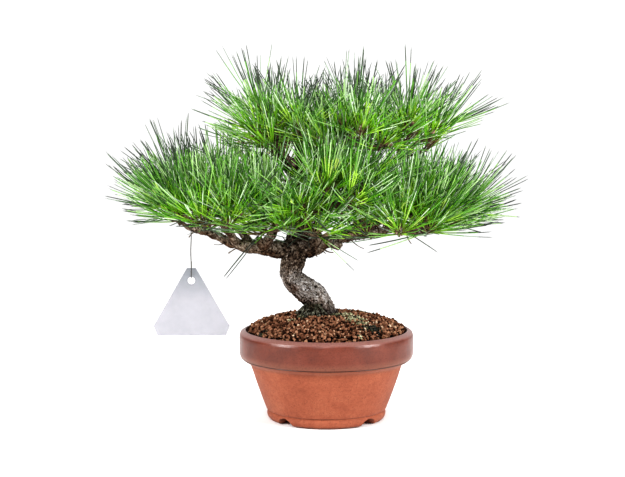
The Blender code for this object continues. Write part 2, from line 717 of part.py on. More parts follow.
def wire_path():
    """The wire: once round the left bough, down to the tag, through its hole and up again."""
    path = smooth_path(BOUGHS["bough_left"][1], 8)
    nearest = int(np.argmin(np.abs(path[:, 0] - WIRE_ON_BOUGH_X)))
    middle, radius = path[nearest, :3], path[nearest, 3]
    along = unit(path[nearest + 1, :3] - path[nearest - 1, :3])
    up = unit(np.array((0.0, 0.0, 1.0)) - along * along[2])
    across = np.cross(along, up)
    ring = radius + GAP + 1.5 * WIRE_RADIUS
    pivot = np.array(TAG_PIVOT)
    points = []
    for turn in np.linspace(*WIRE_TURNS, WIRE_RING_POINTS) * math.pi:
        slip = along * WIRE_PITCH * (turn / (2.0 * math.pi) - WIRE_RING_MIDDLE)
        points.append(middle + slip + ring * (up * math.cos(turn) - across * math.sin(turn)))
    points.append(pivot + (WIRE_RADIUS, -HOOK_RADIUS, 0.5 * (middle[2] - pivot[2])))
    for turn in np.linspace(0.0, math.pi, HOOK_POINTS):
        arc = (0.0, -HOOK_RADIUS * math.cos(turn), HOOK_RADIUS * (1.0 - math.sin(turn)))
        points.append(pivot + arc)
    points.append(pivot + (0.0, HOOK_RADIUS, HOOK_RADIUS + HOOK_LEG))
    return np.array(points)


def build_tag(collection):
    """The wire, and the plate with its origin on the axis that it swings about."""
    steel = material("dark_wire", (0.03, 0.03, 0.03), 0.5, 1.0)
    points = wire_path()
    wire = tube_mesh("tag_wire", points, [WIRE_RADIUS] * len(points), 1)
    shade_round(add_object("tag_wire", wire, collection, steel))
    curve = bpy.data.curves.new("tag_outline", "CURVE")
    curve.dimensions = "2D"
    curve.fill_mode = "BOTH"
    curve.extrude = 0.5 * TAG_THICKNESS
    half = [(TAG_TOP_HALF, TAG_TOP), (TAG_SIDE_HALF, TAG_SIDE), (TAG_BOTTOM_HALF, TAG_BOTTOM)]
    outline = half + [(-across, height) for across, height in reversed(half)]
    hole_centre = WIRE_RADIUS + GAP - TAG_HOLE_RADIUS
    turns = np.arange(TAG_HOLE_SIDES) * 2.0 * math.pi / TAG_HOLE_SIDES
    hole = [(TAG_HOLE_RADIUS * math.cos(t), hole_centre + TAG_HOLE_RADIUS * math.sin(t)) for t in turns]
    for ring in (outline, hole):
        spline = curve.splines.new("POLY")
        spline.points.add(len(ring) - 1)
        spline.use_cyclic_u = True
        for point, (across, height) in zip(spline.points, ring):
            point.co = (across, height, 0.0, 1.0)
    mesh = mesh_of_curve("tag_plate", curve)
    plastic = material("clear_plastic", (0.75, 0.76, 0.82), 0.25)
    plate = add_object("tag_plate", mesh, collection, plastic)
    plate.location = TAG_PIVOT
    plate.rotation_euler = (math.pi / 2.0, 0.0, 0.0)


def build():
    """Clears the scene and makes the whole plant."""
    for thing in list(bpy.data.objects):
        bpy.data.objects.remove(thing)
    plant = bpy.data.collections.new("black_pine_bonsai")
    cutters = bpy.data.collections.new("cutters")
    bpy.context.scene.collection.children.link(plant)
    bpy.context.scene.collection.children.link(cutters)
    bark = material("pine_bark", (0.13, 0.085, 0.06), 0.9)
    leaf = material("pine_needles", (0.09, 0.25, 0.035), 0.5)
    build_pot(plant, cutters)
    build_soil(plant)
    build_limbs(plant, cutters, bark)
    build_masses(plant, leaf)
    build_tag(plant)


build()
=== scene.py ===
"""Looks of a potted Japanese black pine: fired clay, grains of soil, bark, twigs, needles and a bare tag."""

import math

import bpy
import numpy as np
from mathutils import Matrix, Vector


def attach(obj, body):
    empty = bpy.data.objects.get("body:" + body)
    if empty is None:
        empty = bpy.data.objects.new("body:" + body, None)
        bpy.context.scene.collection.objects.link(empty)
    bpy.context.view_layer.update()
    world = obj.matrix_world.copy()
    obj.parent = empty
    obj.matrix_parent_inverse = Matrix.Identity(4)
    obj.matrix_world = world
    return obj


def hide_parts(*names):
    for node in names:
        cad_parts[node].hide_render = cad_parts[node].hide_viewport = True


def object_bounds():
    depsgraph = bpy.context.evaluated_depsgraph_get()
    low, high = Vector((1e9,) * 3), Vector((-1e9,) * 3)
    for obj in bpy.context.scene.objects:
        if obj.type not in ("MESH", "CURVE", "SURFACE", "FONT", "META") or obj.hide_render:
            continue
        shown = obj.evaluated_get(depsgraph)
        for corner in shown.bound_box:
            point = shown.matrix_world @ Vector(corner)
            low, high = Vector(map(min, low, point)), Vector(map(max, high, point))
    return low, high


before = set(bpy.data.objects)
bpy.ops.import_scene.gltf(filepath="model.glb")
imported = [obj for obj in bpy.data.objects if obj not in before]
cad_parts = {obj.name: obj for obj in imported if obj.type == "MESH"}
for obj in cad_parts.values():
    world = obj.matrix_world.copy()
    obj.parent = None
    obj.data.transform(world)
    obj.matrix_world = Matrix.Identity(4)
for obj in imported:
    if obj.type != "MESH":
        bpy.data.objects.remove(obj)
cad_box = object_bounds()


# The studio: a plain pale floor that curves up behind into a plain wall, and wide soft lamps.
# None of it belongs to the tree. The camera looks from the front, a little above the pot.
def linear(code):
    """An sRGB hex colour as linear red, green, blue and alpha."""
    channels = np.array([int(code[i:i + 2], 16) for i in (1, 3, 5)]) / 255.0
    low = channels / 12.92
    high = ((channels + 0.055) / 1.055) ** 2.4
    return (*np.where(channels <= 0.04045, low, high).tolist(), 1.0)


def surface(name, colour, roughness, **sockets):
    """A Principled material with uniform values on the shader's own sockets, and that shader."""
    made = bpy.data.materials.new(name)
    made.use_nodes = True
    shader = made.node_tree.nodes["Principled BSDF"]
    shader.inputs["Base Color"].default_value = linear(colour)
    shader.inputs["Roughness"].default_value = roughness
    for socket, value in sockets.items():
        label = socket.replace("_", " ").title().replace("Ior", "IOR")
        shader.inputs[label].default_value = value
    return made, shader


def mesh_object(name, points, faces, materials, face_materials=None, smooth=True):
    """An object at the origin from whole arrays of points and of faces with equally many corners."""
    points = np.asarray(points, np.float32).reshape(-1, 3)
    faces = np.asarray(faces, np.int32)
    corners = faces.shape[1]
    mesh = bpy.data.meshes.new(name)
    mesh.vertices.add(len(points))
    mesh.vertices.foreach_set("co", points.ravel())
    mesh.loops.add(faces.size)
    mesh.loops.foreach_set("vertex_index", faces.ravel())
    mesh.polygons.add(len(faces))
    mesh.polygons.foreach_set("loop_start", np.arange(len(faces), dtype=np.int32) * corners)
    mesh.polygons.foreach_set("use_smooth", np.full(len(faces), smooth))
    for finish in materials:
        mesh.materials.append(finish)
    if face_materials is not None:
        mesh.polygons.foreach_set("material_index", np.asarray(face_materials, np.int32))
    mesh.update(calc_edges=True)
    mesh.validate()
    made = bpy.data.objects.new(name, mesh)
    bpy.context.scene.collection.objects.link(made)
    return made


SWEEP_LINE = [(-2.4, 0.0), (1.0, 0.0), (2.8, 0.0), (3.1, 0.05), (3.3, 0.20), (3.4, 0.45), (3.45, 0.90),
              (3.45, 6.5)]
SPAN_PAPERS = [0, 1, 1, 1, 1, 1, 1]
floor_points = [(side * 6.0, deep, high - 0.0003) for deep, high in SWEEP_LINE for side in (-1, 1)]
floor_faces = [(2 * i, 2 * i + 1, 2 * i + 3, 2 * i + 2) for i in range(len(SWEEP_LINE) - 1)]
papers = [surface(name, code, 0.9, emission_strength=glow)[0] for name, code, glow in (
    ("white_paper", "#F4F4F4", 0.0), ("backlit_paper", "#8F8F8F", 0.50))]
floor = mesh_object("studio_floor", floor_points, floor_faces, papers, SPAN_PAPERS)

for name, place, turn, size, power in (
    ("lamp_left", (-2.0, -1.2, 1.1), (69, 0, -59), 1.0, 62),
    ("lamp_right", (2.0, -1.2, 1.0), (71, 0, 59), 1.0, 69),
    ("lamp_front", (-0.1, -2.4, 1.3), (65, 0, -2), 0.7, 25),
    ("lamp_top", (0.0, 0.25, 2.3), (-5, 0, 0), 1.8, 26),
):
    lamp = bpy.data.lights.new(name, "AREA")
    lamp.size = size
    lamp.energy = power
    stand = bpy.data.objects.new(name, lamp)
    stand.location = place
    stand.rotation_euler = [math.radians(angle) for angle in turn]
    bpy.context.scene.collection.objects.link(stand)
sky = bpy.data.worlds.new("soft_white_room")
sky.use_nodes = True
sky.node_tree.nodes["Background"].inputs["Color"].default_value = linear("#FFFFFF")
sky.node_tree.nodes["Background"].inputs["Strength"].default_value = 0.16
bpy.context.scene.world = sky
bpy.context.scene.view_settings.view_transform = "Standard"
bpy.context.scene.view_settings.look = "High Contrast"

AIM_HEIGHT = 0.2077
CAMERA_DISTANCE = 1.8
CAMERA_RISE = math.radians(6.0)
lens = bpy.data.cameras.new("photo_camera")
lens.lens = 90.7
lens.sensor_width = 36.0
camera = bpy.data.objects.new("photo_camera", lens)
camera.location = (0.0, -CAMERA_DISTANCE * math.cos(CAMERA_RISE),
                   AIM_HEIGHT + CAMERA_DISTANCE * math.sin(CAMERA_RISE))
camera.rotation_euler = (math.pi / 2.0 - CAMERA_RISE, 0.0, 0.0)
bpy.context.scene.collection.objects.link(camera)
bpy.context.scene.camera = camera


# The pot: thrown red earthenware with a thick band under its lip, fired to a matte orange body. The
# band wears a thin satin brown slip. The foot ring is cut with four notches that leave four feet.
POT_X = 0.016
POT_TURNS = 384
POT_LINE = [
    (0.0928, 0.1036, 0.0012), (0.0990, 0.1006, 0.0022), (0.1000, 0.0960, 0.0020), (0.0999, 0.0735, 0.0040),
    (0.0962, 0.0697, 0.0030), (0.0878, 0.0652, 0.0040),
    (0.0789, 0.0380, 0.0200), (0.0690, 0.0125, 0.0010), (0.0666, 0.0112, 0.0004), (0.0684, 0.0090, 0.0012),
    (0.0684, 0.0040, 0.0035), (0.0650, 0.0004, 0.0026), (0.0580, 0.0000, 0.0010), (0.0460, 0.0000, 0.0015),
    (0.0445, 0.0060, 0.0015), (0.0092, 0.0060, 0.0010), (0.0090, 0.0150, 0.0010), (0.0573, 0.0150, 0.0030),
    (0.0623, 0.0200, 0.0030), (0.0805, 0.0635, 0.0030), (0.0900, 0.0782, 0.0030), (0.0913, 0.0986, 0.0010),
]
POT_BEND_STEPS = 6
SLIP_FOOT = 0.0706
NOTCHES = 4
NOTCH_RADIUS = 0.0115
NOTCH_CENTRE = -0.0025
NOTCH_REACH = (0.040, 0.072)


def rounded_line(corners, steps):
    """A closed line whose corners are drawn as parabolas that start and end the third number away."""
    corners = np.asarray(corners, float)
    here, size = corners[:, :2], corners[:, 2:]
    before = np.roll(here, 1, axis=0) - here
    after = np.roll(here, -1, axis=0) - here
    start = here + before / np.linalg.norm(before, axis=1, keepdims=True) * size
    end = here + after / np.linalg.norm(after, axis=1, keepdims=True) * size
    t = np.linspace(0.0, 1.0, steps)[:, None, None]
    curve = (1 - t) ** 2 * start + 2 * t * (1 - t) * here + t ** 2 * end
    return curve.transpose(1, 0, 2).reshape(-1, 2)


def noise(points, cell, seed):
    """Smooth noise from -1 to 1: random values on a lattice of that cell, blended by the smoothed place."""
    scaled = np.asarray(points, float) / cell
    base = np.floor(scaled).astype(np.int64)
    t = scaled - base
    t = t * t * (3.0 - 2.0 * t)
    total = np.zeros(scaled.shape[:-1])
    for corner in np.ndindex(2, 2, 2):
        mixed = ((base + corner) * (73856093, 19349663, 83492791)).sum(-1) + seed * 40503
        mixed = (mixed ^ (mixed >> 13)) * 1274126177
        value = ((mixed ^ (mixed >> 16)) & 0xFFFF) / 32767.5 - 1.0
        total += value * np.prod(np.where(corner, t, 1.0 - t), axis=-1)
    return total


def ring_faces(rows, columns, closed_rows=False):
    """Four-cornered faces between neighbouring rows of a grid whose columns run round and close."""
    row = np.arange(rows if closed_rows else rows - 1)[:, None]
    column = np.arange(columns)[None, :]
    above = (row + 1) % rows
    right = (column + 1) % columns
    faces = np.stack(np.broadcast_arrays(row * columns + column, row * columns + right,
                                         above * columns + right, above * columns + column), -1)
    return faces.reshape(-1, 4)


def pot_grid():
    """The pot's line turned about its axis; over a notch the foot is lifted to the notch's round roof."""
    line = rounded_line(POT_LINE, POT_BEND_STEPS)
    long_steps = np.linalg.norm(np.roll(line, -1, axis=0) - line, axis=1)
    counts = np.maximum(1, np.round(long_steps / 0.0022)).astype(int)
    share = np.concatenate([np.arange(n) / n for n in counts])
    index = np.repeat(np.arange(len(line)), counts)
    line = line[index] + (np.roll(line, -1, axis=0) - line)[index] * share[:, None]
    angle = np.arange(POT_TURNS) * 2.0 * math.pi / POT_TURNS
    radius = np.repeat(line[:, :1], POT_TURNS, axis=1)
    height = np.repeat(line[:, 1:], POT_TURNS, axis=1)
    away = (angle - math.pi / 4.0 + math.pi / NOTCHES) % (2.0 * math.pi / NOTCHES) - math.pi / NOTCHES
    across = radius * np.sin(away)[None, :]
    roof = NOTCH_CENTRE + np.sqrt(np.maximum(NOTCH_RADIUS ** 2 - across ** 2, 0.0))
    cut = (radius > NOTCH_REACH[0]) & (radius < NOTCH_REACH[1]) & (height < 0.0105)
    height = np.where(cut, np.maximum(height, roof - 0.02 * (0.0105 - height)), height)
    ring = np.stack([radius * np.cos(angle), radius * np.sin(angle), height], -1)
    uneven = 0.00022 * noise(ring * (1.0, 1.0, 2.2), 0.017, 3) + 0.00010 * noise(ring, 0.0045, 4)
    wheel = 0.00007 * np.sin(line[:, 1:] * 2.0 * math.pi / 0.0031)
    free = np.clip(line[:, 1:] / 0.010, 0.0, 1.0)
    grown = (radius + (uneven + wheel) * free) / radius
    ring[..., :2] *= grown[..., None]
    ring[..., 0] += POT_X
    return ring, line


def add_node(tree, kind, links=(), **settings):
    """Adds a shader node: settings name its attributes or its sockets, links are (socket, source output)."""
    made = tree.nodes.new(kind)
    for key, value in settings.items():
        if hasattr(made, key):
            setattr(made, key, value)
        else:
            made.inputs[key.replace("_", " ")].default_value = value
    for socket, source in links:
        tree.links.new(source, made.inputs[socket])
    return made


def mottle(tree, places, size, stops, detail=4.0, stretch=(1.0, 1.0, 1.0), roughness=0.6):
    """Colours spread by noise whose patches measure size metres, over the stops (place, hex colour)."""
    turned = add_node(tree, "ShaderNodeMapping", [("Vector", places)], Scale=stretch)
    spots = add_node(tree, "ShaderNodeTexNoise", [("Vector", turned.outputs[0])],
                     Scale=1.0 / size, Detail=detail, Roughness=roughness)
    ramp = add_node(tree, "ShaderNodeValToRGB", [("Fac", spots.outputs["Fac"])])
    while len(ramp.color_ramp.elements) < len(stops):
        ramp.color_ramp.elements.new(0.5)
    for element, (place, code) in zip(ramp.color_ramp.elements, stops):
        element.position = place
        element.color = linear(code)
    return ramp.outputs["Color"], spots.outputs["Fac"]


def blend(tree, kind, share, first, second):
    """Two colours mixed by that kind; the share is a number or an output."""
    made = add_node(tree, "ShaderNodeMix", data_type="RGBA", blend_type=kind)
    for socket, source in ((0, share), (6, first), (7, second)):
        if isinstance(source, bpy.types.NodeSocket):
            tree.links.new(source, made.inputs[socket])
        else:
            made.inputs[socket].default_value = source
    return made.outputs[2]


def relief(tree, shader, height, strength, distance):
    """Bump from a height output, of that depth in metres."""
    bump = add_node(tree, "ShaderNodeBump", [("Height", height)], Strength=strength, Distance=distance)
    tree.links.new(bump.outputs[0], shader.inputs["Normal"])


# Slip is clay washed on thin and burnished: satin, with a soft pink sheen where the light grazes it. The lip's top
# slope and the band's lower rounding are also painted paler, as painted highlight and painted reflection.
slip, shader = surface("satin_brown_slip", "#6A2F1C", 0.50, specular_ior_level=0.25, coat_weight=0.6,
                       coat_roughness=0.27, coat_ior=1.4)
tree = slip.node_tree
places = add_node(tree, "ShaderNodeTexCoord").outputs["Object"]
clouds, _ = mottle(tree, places, 0.022, [(0.30, "#502214"), (0.52, "#5B2817"), (0.75, "#663121")], 5.0)
specks, fine = mottle(tree, places, 0.0013, [(0.36, "#8A5F52"), (0.50, "#FFFFFF")], 3.0)
height = add_node(tree, "ShaderNodeSeparateXYZ", [("Vector", places)])
# Painted reflection: the band's lower rounding is painted paler, standing in for the floor's light reflected there.
floor_reflection_paling = add_node(tree, "ShaderNodeMapRange", [("Value", height.outputs["Z"])], From_Min=0.0800, From_Max=0.0735)
# Painted highlight: the lip's top slope is painted a paler pink grey, standing in for light grazing off it.
lip_highlight_and_tag_fade = add_node(tree, "ShaderNodeMapRange", [("Value", height.outputs["Z"])], From_Min=0.0985, From_Max=0.1008)
drip = add_node(tree, "ShaderNodeMapRange", [("Value", height.outputs["Z"])], From_Min=0.0722, From_Max=0.0712)
colour = blend(tree, "MIX", lip_highlight_and_tag_fade.outputs["Result"], clouds, linear("#7E5A54"))
colour = blend(tree, "MIX", floor_reflection_paling.outputs["Result"], colour, linear("#6C4030"))
colour = blend(tree, "MULTIPLY", drip.outputs["Result"], colour, linear("#7A6058"))
tree.links.new(blend(tree, "MULTIPLY", 0.35, colour, specks), shader.inputs["Base Color"])
relief(tree, shader, fine, 0.25, 0.0003)

# Bisque fired without glaze is matte and open: fine dark pores, soft wiped clouds, and a faint sheen that pales the
# edges
bisque, shader = surface("matte_orange_bisque", "#A0573A", 0.82, sheen_weight=0.08, sheen_roughness=0.4)
tree = bisque.node_tree
places = add_node(tree, "ShaderNodeTexCoord").outputs["Object"]
clouds, _ = mottle(tree, places, 0.030, [(0.28, "#7C422B"), (0.50, "#874C34"), (0.74, "#90583F")], 6.0,
                   (1.0, 1.0, 1.4), 0.7)
wiped, _ = mottle(tree, places, 0.0030, [(0.34, "#CDA792"), (0.56, "#FFFFFF")], 5.0, (0.8, 0.8, 1.0), 0.8)
specks, fine = mottle(tree, places, 0.0011, [(0.30, "#6E3C26"), (0.43, "#FFFFFF")], 2.0)
colour = blend(tree, "MULTIPLY", 0.45, clouds, wiped)
tree.links.new(blend(tree, "MULTIPLY", 0.55, colour, specks), shader.inputs["Base Color"])
relief(tree, shader, fine, 0.5, 0.0004)

ring, line = pot_grid()
rows = len(line)
faces = ring_faces(rows, POT_TURNS, closed_rows=True)[:, ::-1]
slipped = (line[:, 1] > SLIP_FOOT) & (np.roll(line[:, 1], -1) > SLIP_FOOT)
pot = mesh_object("clay_pot", ring, faces, [bisque, slip], np.repeat(slipped, POT_TURNS))
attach(pot, "plant")
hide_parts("pot")


# The soil: hard baked clay grains of 2 to 5 mm, heaped up to the trunk, with dark gaps between them; the bed under the
# grains is painted near black as painted shade.
# A grey lichen and low moss grow on it beside the trunk.
SOIL_TOP = 0.1205
SOIL_EDGE = 0.1015
SOIL_EDGE_RADIUS = 0.0912
SOIL_LEVEL_RADIUS = 0.030
SOIL_SLOPE = 0.20
SOIL_POWER = 6.0
GRAIN_SPACING = 0.0030
GRAIN_RADIUS = (0.0010, 0.0021)
GRAIN_SINK = 0.0006
TRUNK_FOOT = (0.0075, 0.0)
TRUNK_FOOT_RADIUS = 0.0165
GOLDEN_RATIO = (1.0 + math.sqrt(5.0)) / 2.0


def soil_height(x, y):
    """Height of the mound: level under the trunk, then an even slope that drops off at the edge."""
    past = np.maximum(np.hypot(x - POT_X, y) - SOIL_LEVEL_RADIUS, 0.0)
    full = SOIL_EDGE_RADIUS - SOIL_LEVEL_RADIUS
    drop = SOIL_TOP - SOIL_EDGE - SOIL_SLOPE * full
    return SOIL_TOP - SOIL_SLOPE * past - drop * (past / full) ** SOIL_POWER


def twenty_faces():
    """Points and faces of an icosahedron of radius one."""
    g = GOLDEN_RATIO
    points = np.array([(-1, g, 0), (1, g, 0), (-1, -g, 0), (1, -g, 0), (0, -1, g), (0, 1, g), (0, -1, -g),
                       (0, 1, -g), (g, 0, -1), (g, 0, 1), (-g, 0, -1), (-g, 0, 1)], float)
    faces = [(0, 11, 5), (0, 5, 1), (0, 1, 7), (0, 7, 10), (0, 10, 11), (1, 5, 9), (5, 11, 4), (11, 10, 2),
             (10, 7, 6), (7, 1, 8), (3, 9, 4), (3, 4, 2), (3, 2, 6), (3, 6, 8), (3, 8, 9), (4, 9, 5),
             (2, 4, 11), (6, 2, 10), (8, 6, 7), (9, 8, 1)]
    return points / math.hypot(1.0, g), np.array(faces)


def turns(count, chance):
    """Random turning matrices from random quaternions."""
    w, x, y, z = (lambda q: q / np.linalg.norm(q, axis=0))(chance.normal(size=(4, count)))
    return np.stack([
        np.stack([1 - 2 * (y * y + z * z), 2 * (x * y - w * z), 2 * (x * z + w * y)], -1),
        np.stack([2 * (x * y + w * z), 1 - 2 * (x * x + z * z), 2 * (y * z - w * x)], -1),
        np.stack([2 * (x * z - w * y), 2 * (y * z + w * x), 1 - 2 * (x * x + y * y)], -1),
    ], 1)


def lumps(places, radii, uneven, chance):
    """Twenty-faced grains: corners pushed in and out, stretched along three axes, turned at random."""
    corners, faces = twenty_faces()
    count = len(places)
    shapes = corners[None] * chance.uniform(1.0 - uneven, 1.0 + uneven, (count, 12, 1))
    shapes = shapes * chance.uniform(0.75, 1.2, (count, 1, 3)) * np.asarray(radii)[:, None, None]
    shapes = np.einsum("nij,nkj->nki", turns(count, chance), shapes)
    points = places[:, None] + shapes
    joined = (faces[None] + 12 * np.arange(count)[:, None, None]).reshape(-1, 3)
    return points.reshape(-1, 3), joined


def tint(thing, name, values):
    """Stores one number for each point of the mesh, which its material reads by name."""
    layer = thing.data.attributes.new(name, "FLOAT", "POINT")
    layer.data.foreach_set("value", np.asarray(values, np.float32).ravel())


def by_tint(tree, name, stops):
    """Colours read from the mesh's own number of that name, over the stops (place, hex colour)."""
    stored = add_node(tree, "ShaderNodeAttribute", attribute_name=name)
    ramp = add_node(tree, "ShaderNodeValToRGB", [("Fac", stored.outputs["Fac"])])
    while len(ramp.color_ramp.elements) < len(stops):
        ramp.color_ramp.elements.new(0.5)
    for element, (place, code) in zip(ramp.color_ramp.elements, stops):
        element.position = place
        element.color = linear(code)
    return ramp.outputs["Color"]


# Baked clay grains are dead matte and porous, from chocolate to rust, a few of them pale pumice
baked, shader = surface("baked_clay_grains", "#7A5138", 0.95, specular_ior_level=0.10)
tree = baked.node_tree
places = add_node(tree, "ShaderNodeTexCoord").outputs["Object"]
grain_colour = by_tint(tree, "grain", [(0.0, "#0C0502"), (0.24, "#3A2418"), (0.50, "#6C4A38"),
                                       (0.88, "#94705A"), (0.97, "#A0846E"), (0.985, "#C4B09A")])
powder, fine = mottle(tree, places, 0.0008, [(0.30, "#A08877"), (0.60, "#FFFFFF")], 3.0)
tree.links.new(blend(tree, "MULTIPLY", 0.6, grain_colour, powder), shader.inputs["Base Color"])
relief(tree, shader, fine, 0.6, 0.0004)

chance = np.random.default_rng(41)
bed_angle = np.arange(96) * 2.0 * math.pi / 96
bed_radius = np.linspace(0.0005, SOIL_EDGE_RADIUS, 40)[:, None]
bed_x = POT_X + bed_radius * np.cos(bed_angle)
bed_y = bed_radius * np.sin(bed_angle)
bed = np.stack([bed_x, bed_y, soil_height(bed_x, bed_y) - 0.0016], -1)
bed[..., 2] += 0.0006 * noise(bed, 0.006, 9)
rim_down = bed[-1].copy()
rim_down[:, 2] -= 0.012
bed = np.concatenate([bed, rim_down[None]])
painted_shade_soil_bed = mesh_object("painted_shade_soil_bed", bed, ring_faces(len(bed), 96), [baked])
# Painted shade: the bed takes the darkest grain colour, near black, so the gaps between grains look shaded.
tint(painted_shade_soil_bed, "grain", np.zeros(bed.shape[:2]))
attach(painted_shade_soil_bed, "plant")
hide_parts("soil")

grid = np.arange(-36, 37)
across, deep = np.meshgrid(grid, grid)
grain_x = (across + 0.5 * (deep % 2)).ravel() * GRAIN_SPACING
grain_y = deep.ravel() * GRAIN_SPACING * math.sqrt(0.75)
layers = []
for lift, shift in ((-GRAIN_SINK, 0.0), (0.0009, 0.5)):
    x = grain_x + shift * GRAIN_SPACING + chance.normal(0.0, 0.34 * GRAIN_SPACING, grain_x.shape)
    y = grain_y + chance.normal(0.0, 0.34 * GRAIN_SPACING, grain_x.shape)
    kept = (np.hypot(x, y) < SOIL_EDGE_RADIUS - 0.0014)
    kept &= np.hypot(x + POT_X - TRUNK_FOOT[0], y - TRUNK_FOOT[1]) > TRUNK_FOOT_RADIUS - 0.003
    if shift:
        kept &= chance.random(x.shape) < 0.72
    x, y = x[kept] + POT_X, y[kept]
    z = soil_height(x, y) + lift + chance.normal(0.0, 0.0008, x.shape)
    layers.append(np.stack([x, y, z], -1))
grain_places = np.concatenate(layers)
grain_radii = chance.uniform(*GRAIN_RADIUS, len(grain_places)) * chance.uniform(0.8, 1.15, len(grain_places))
grain_places[:, 2] = np.minimum(grain_places[:, 2], 0.1228 - grain_radii)
points, faces = lumps(grain_places, grain_radii, 0.16, chance)
grains = mesh_object("soil_grains", points, faces, [baked], smooth=False)
tint(grains, "grain", np.repeat(chance.beta(1.3, 1.2, len(grain_places)), 12))
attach(grains, "plant")

# Lichen and moss are soft dry tufts: fully matte, pale sulphur green or bottle green
lichen, shader = surface("dry_lichen", "#B7B98A", 0.95, specular_ior_level=0.15, sheen_weight=0.1)
tree = lichen.node_tree
tuft_colour = by_tint(tree, "tuft", [(0.0, "#0A0D06"), (0.35, "#2C2E1C"), (0.65, "#605E42"), (1.0, "#A09C82")])
tree.links.new(tuft_colour, shader.inputs["Base Color"])
tuft_sets = []
for middle, reach, count, tone in (
    ((0.038, -0.010), (0.008, 0.009), 40, 0.50), ((0.047, -0.028), (0.011, 0.012), 130, 0.70),
    ((0.054, -0.043), (0.008, 0.007), 60, 0.70), ((0.066, -0.056), (0.011, 0.009), 170, 0.00),
    ((-0.010, -0.022), (0.006, 0.010), 60, 0.25), ((0.052, -0.078), (0.004, 0.003), 12, 0.80),
    ((0.028, -0.018), (0.006, 0.008), 40, 0.30), ((-0.024, -0.030), (0.004, 0.005), 8, 0.85),
    ((-0.058, -0.050), (0.007, 0.006), 20, 0.10), ((0.052, 0.045), (0.018, 0.016), 90, 0.35),
):
    x = middle[0] + chance.normal(0.0, 0.5, count) * reach[0]
    y = middle[1] + chance.normal(0.0, 0.5, count) * reach[1]
    z = soil_height(x, y) + 0.0018 + chance.normal(0.0, 0.0004, count)
    tones = np.clip(tone + chance.normal(0.0, 0.25, count), 0.0, 1.0)
    tuft_sets.append((np.stack([x, y, z], -1), tones))
tuft_places = np.concatenate([places for places, _ in tuft_sets])
tuft_tones = np.concatenate([tones for _, tones in tuft_sets])
points, faces = lumps(tuft_places, chance.uniform(0.0006, 0.0015, len(tuft_places)), 0.30, chance)
tufts = mesh_object("lichen_tufts", points, faces, [lichen])
tint(tufts, "tuft", np.repeat(tuft_tones, 12))
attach(tufts, "plant")


# The trunk and boughs: pine wood in thick flaking bark, pale and plated low on the trunk, darker and
# finer from the fork up, while out along the boughs it is painted paler as painted light. Each bough
# swells a little where it grows out of the limb that carries it.
TRUNK = [
    (0.0082, 0.000, 0.1150, 0.0178), (0.0075, 0.000, 0.1208, 0.0172), (0.0068, 0.000, 0.1330, 0.0158),
    (0.0023, 0.000, 0.1415, 0.0145), (-0.0092, -0.002, 0.1509, 0.0143), (-0.0212, -0.003, 0.1602, 0.0131),
    (-0.0246, -0.002, 0.1717, 0.0118), (-0.0220, 0.000, 0.1806, 0.0129), (-0.0189, 0.001, 0.1935, 0.0135),
    (-0.0172, 0.004, 0.2080, 0.0114), (-0.0150, 0.007, 0.2280, 0.0098), (-0.0105, 0.008, 0.2520, 0.0078),
    (-0.0100, 0.006, 0.2760, 0.0065), (-0.0142, 0.004, 0.2980, 0.0051), (-0.0165, 0.003, 0.3166, 0.0038),
]
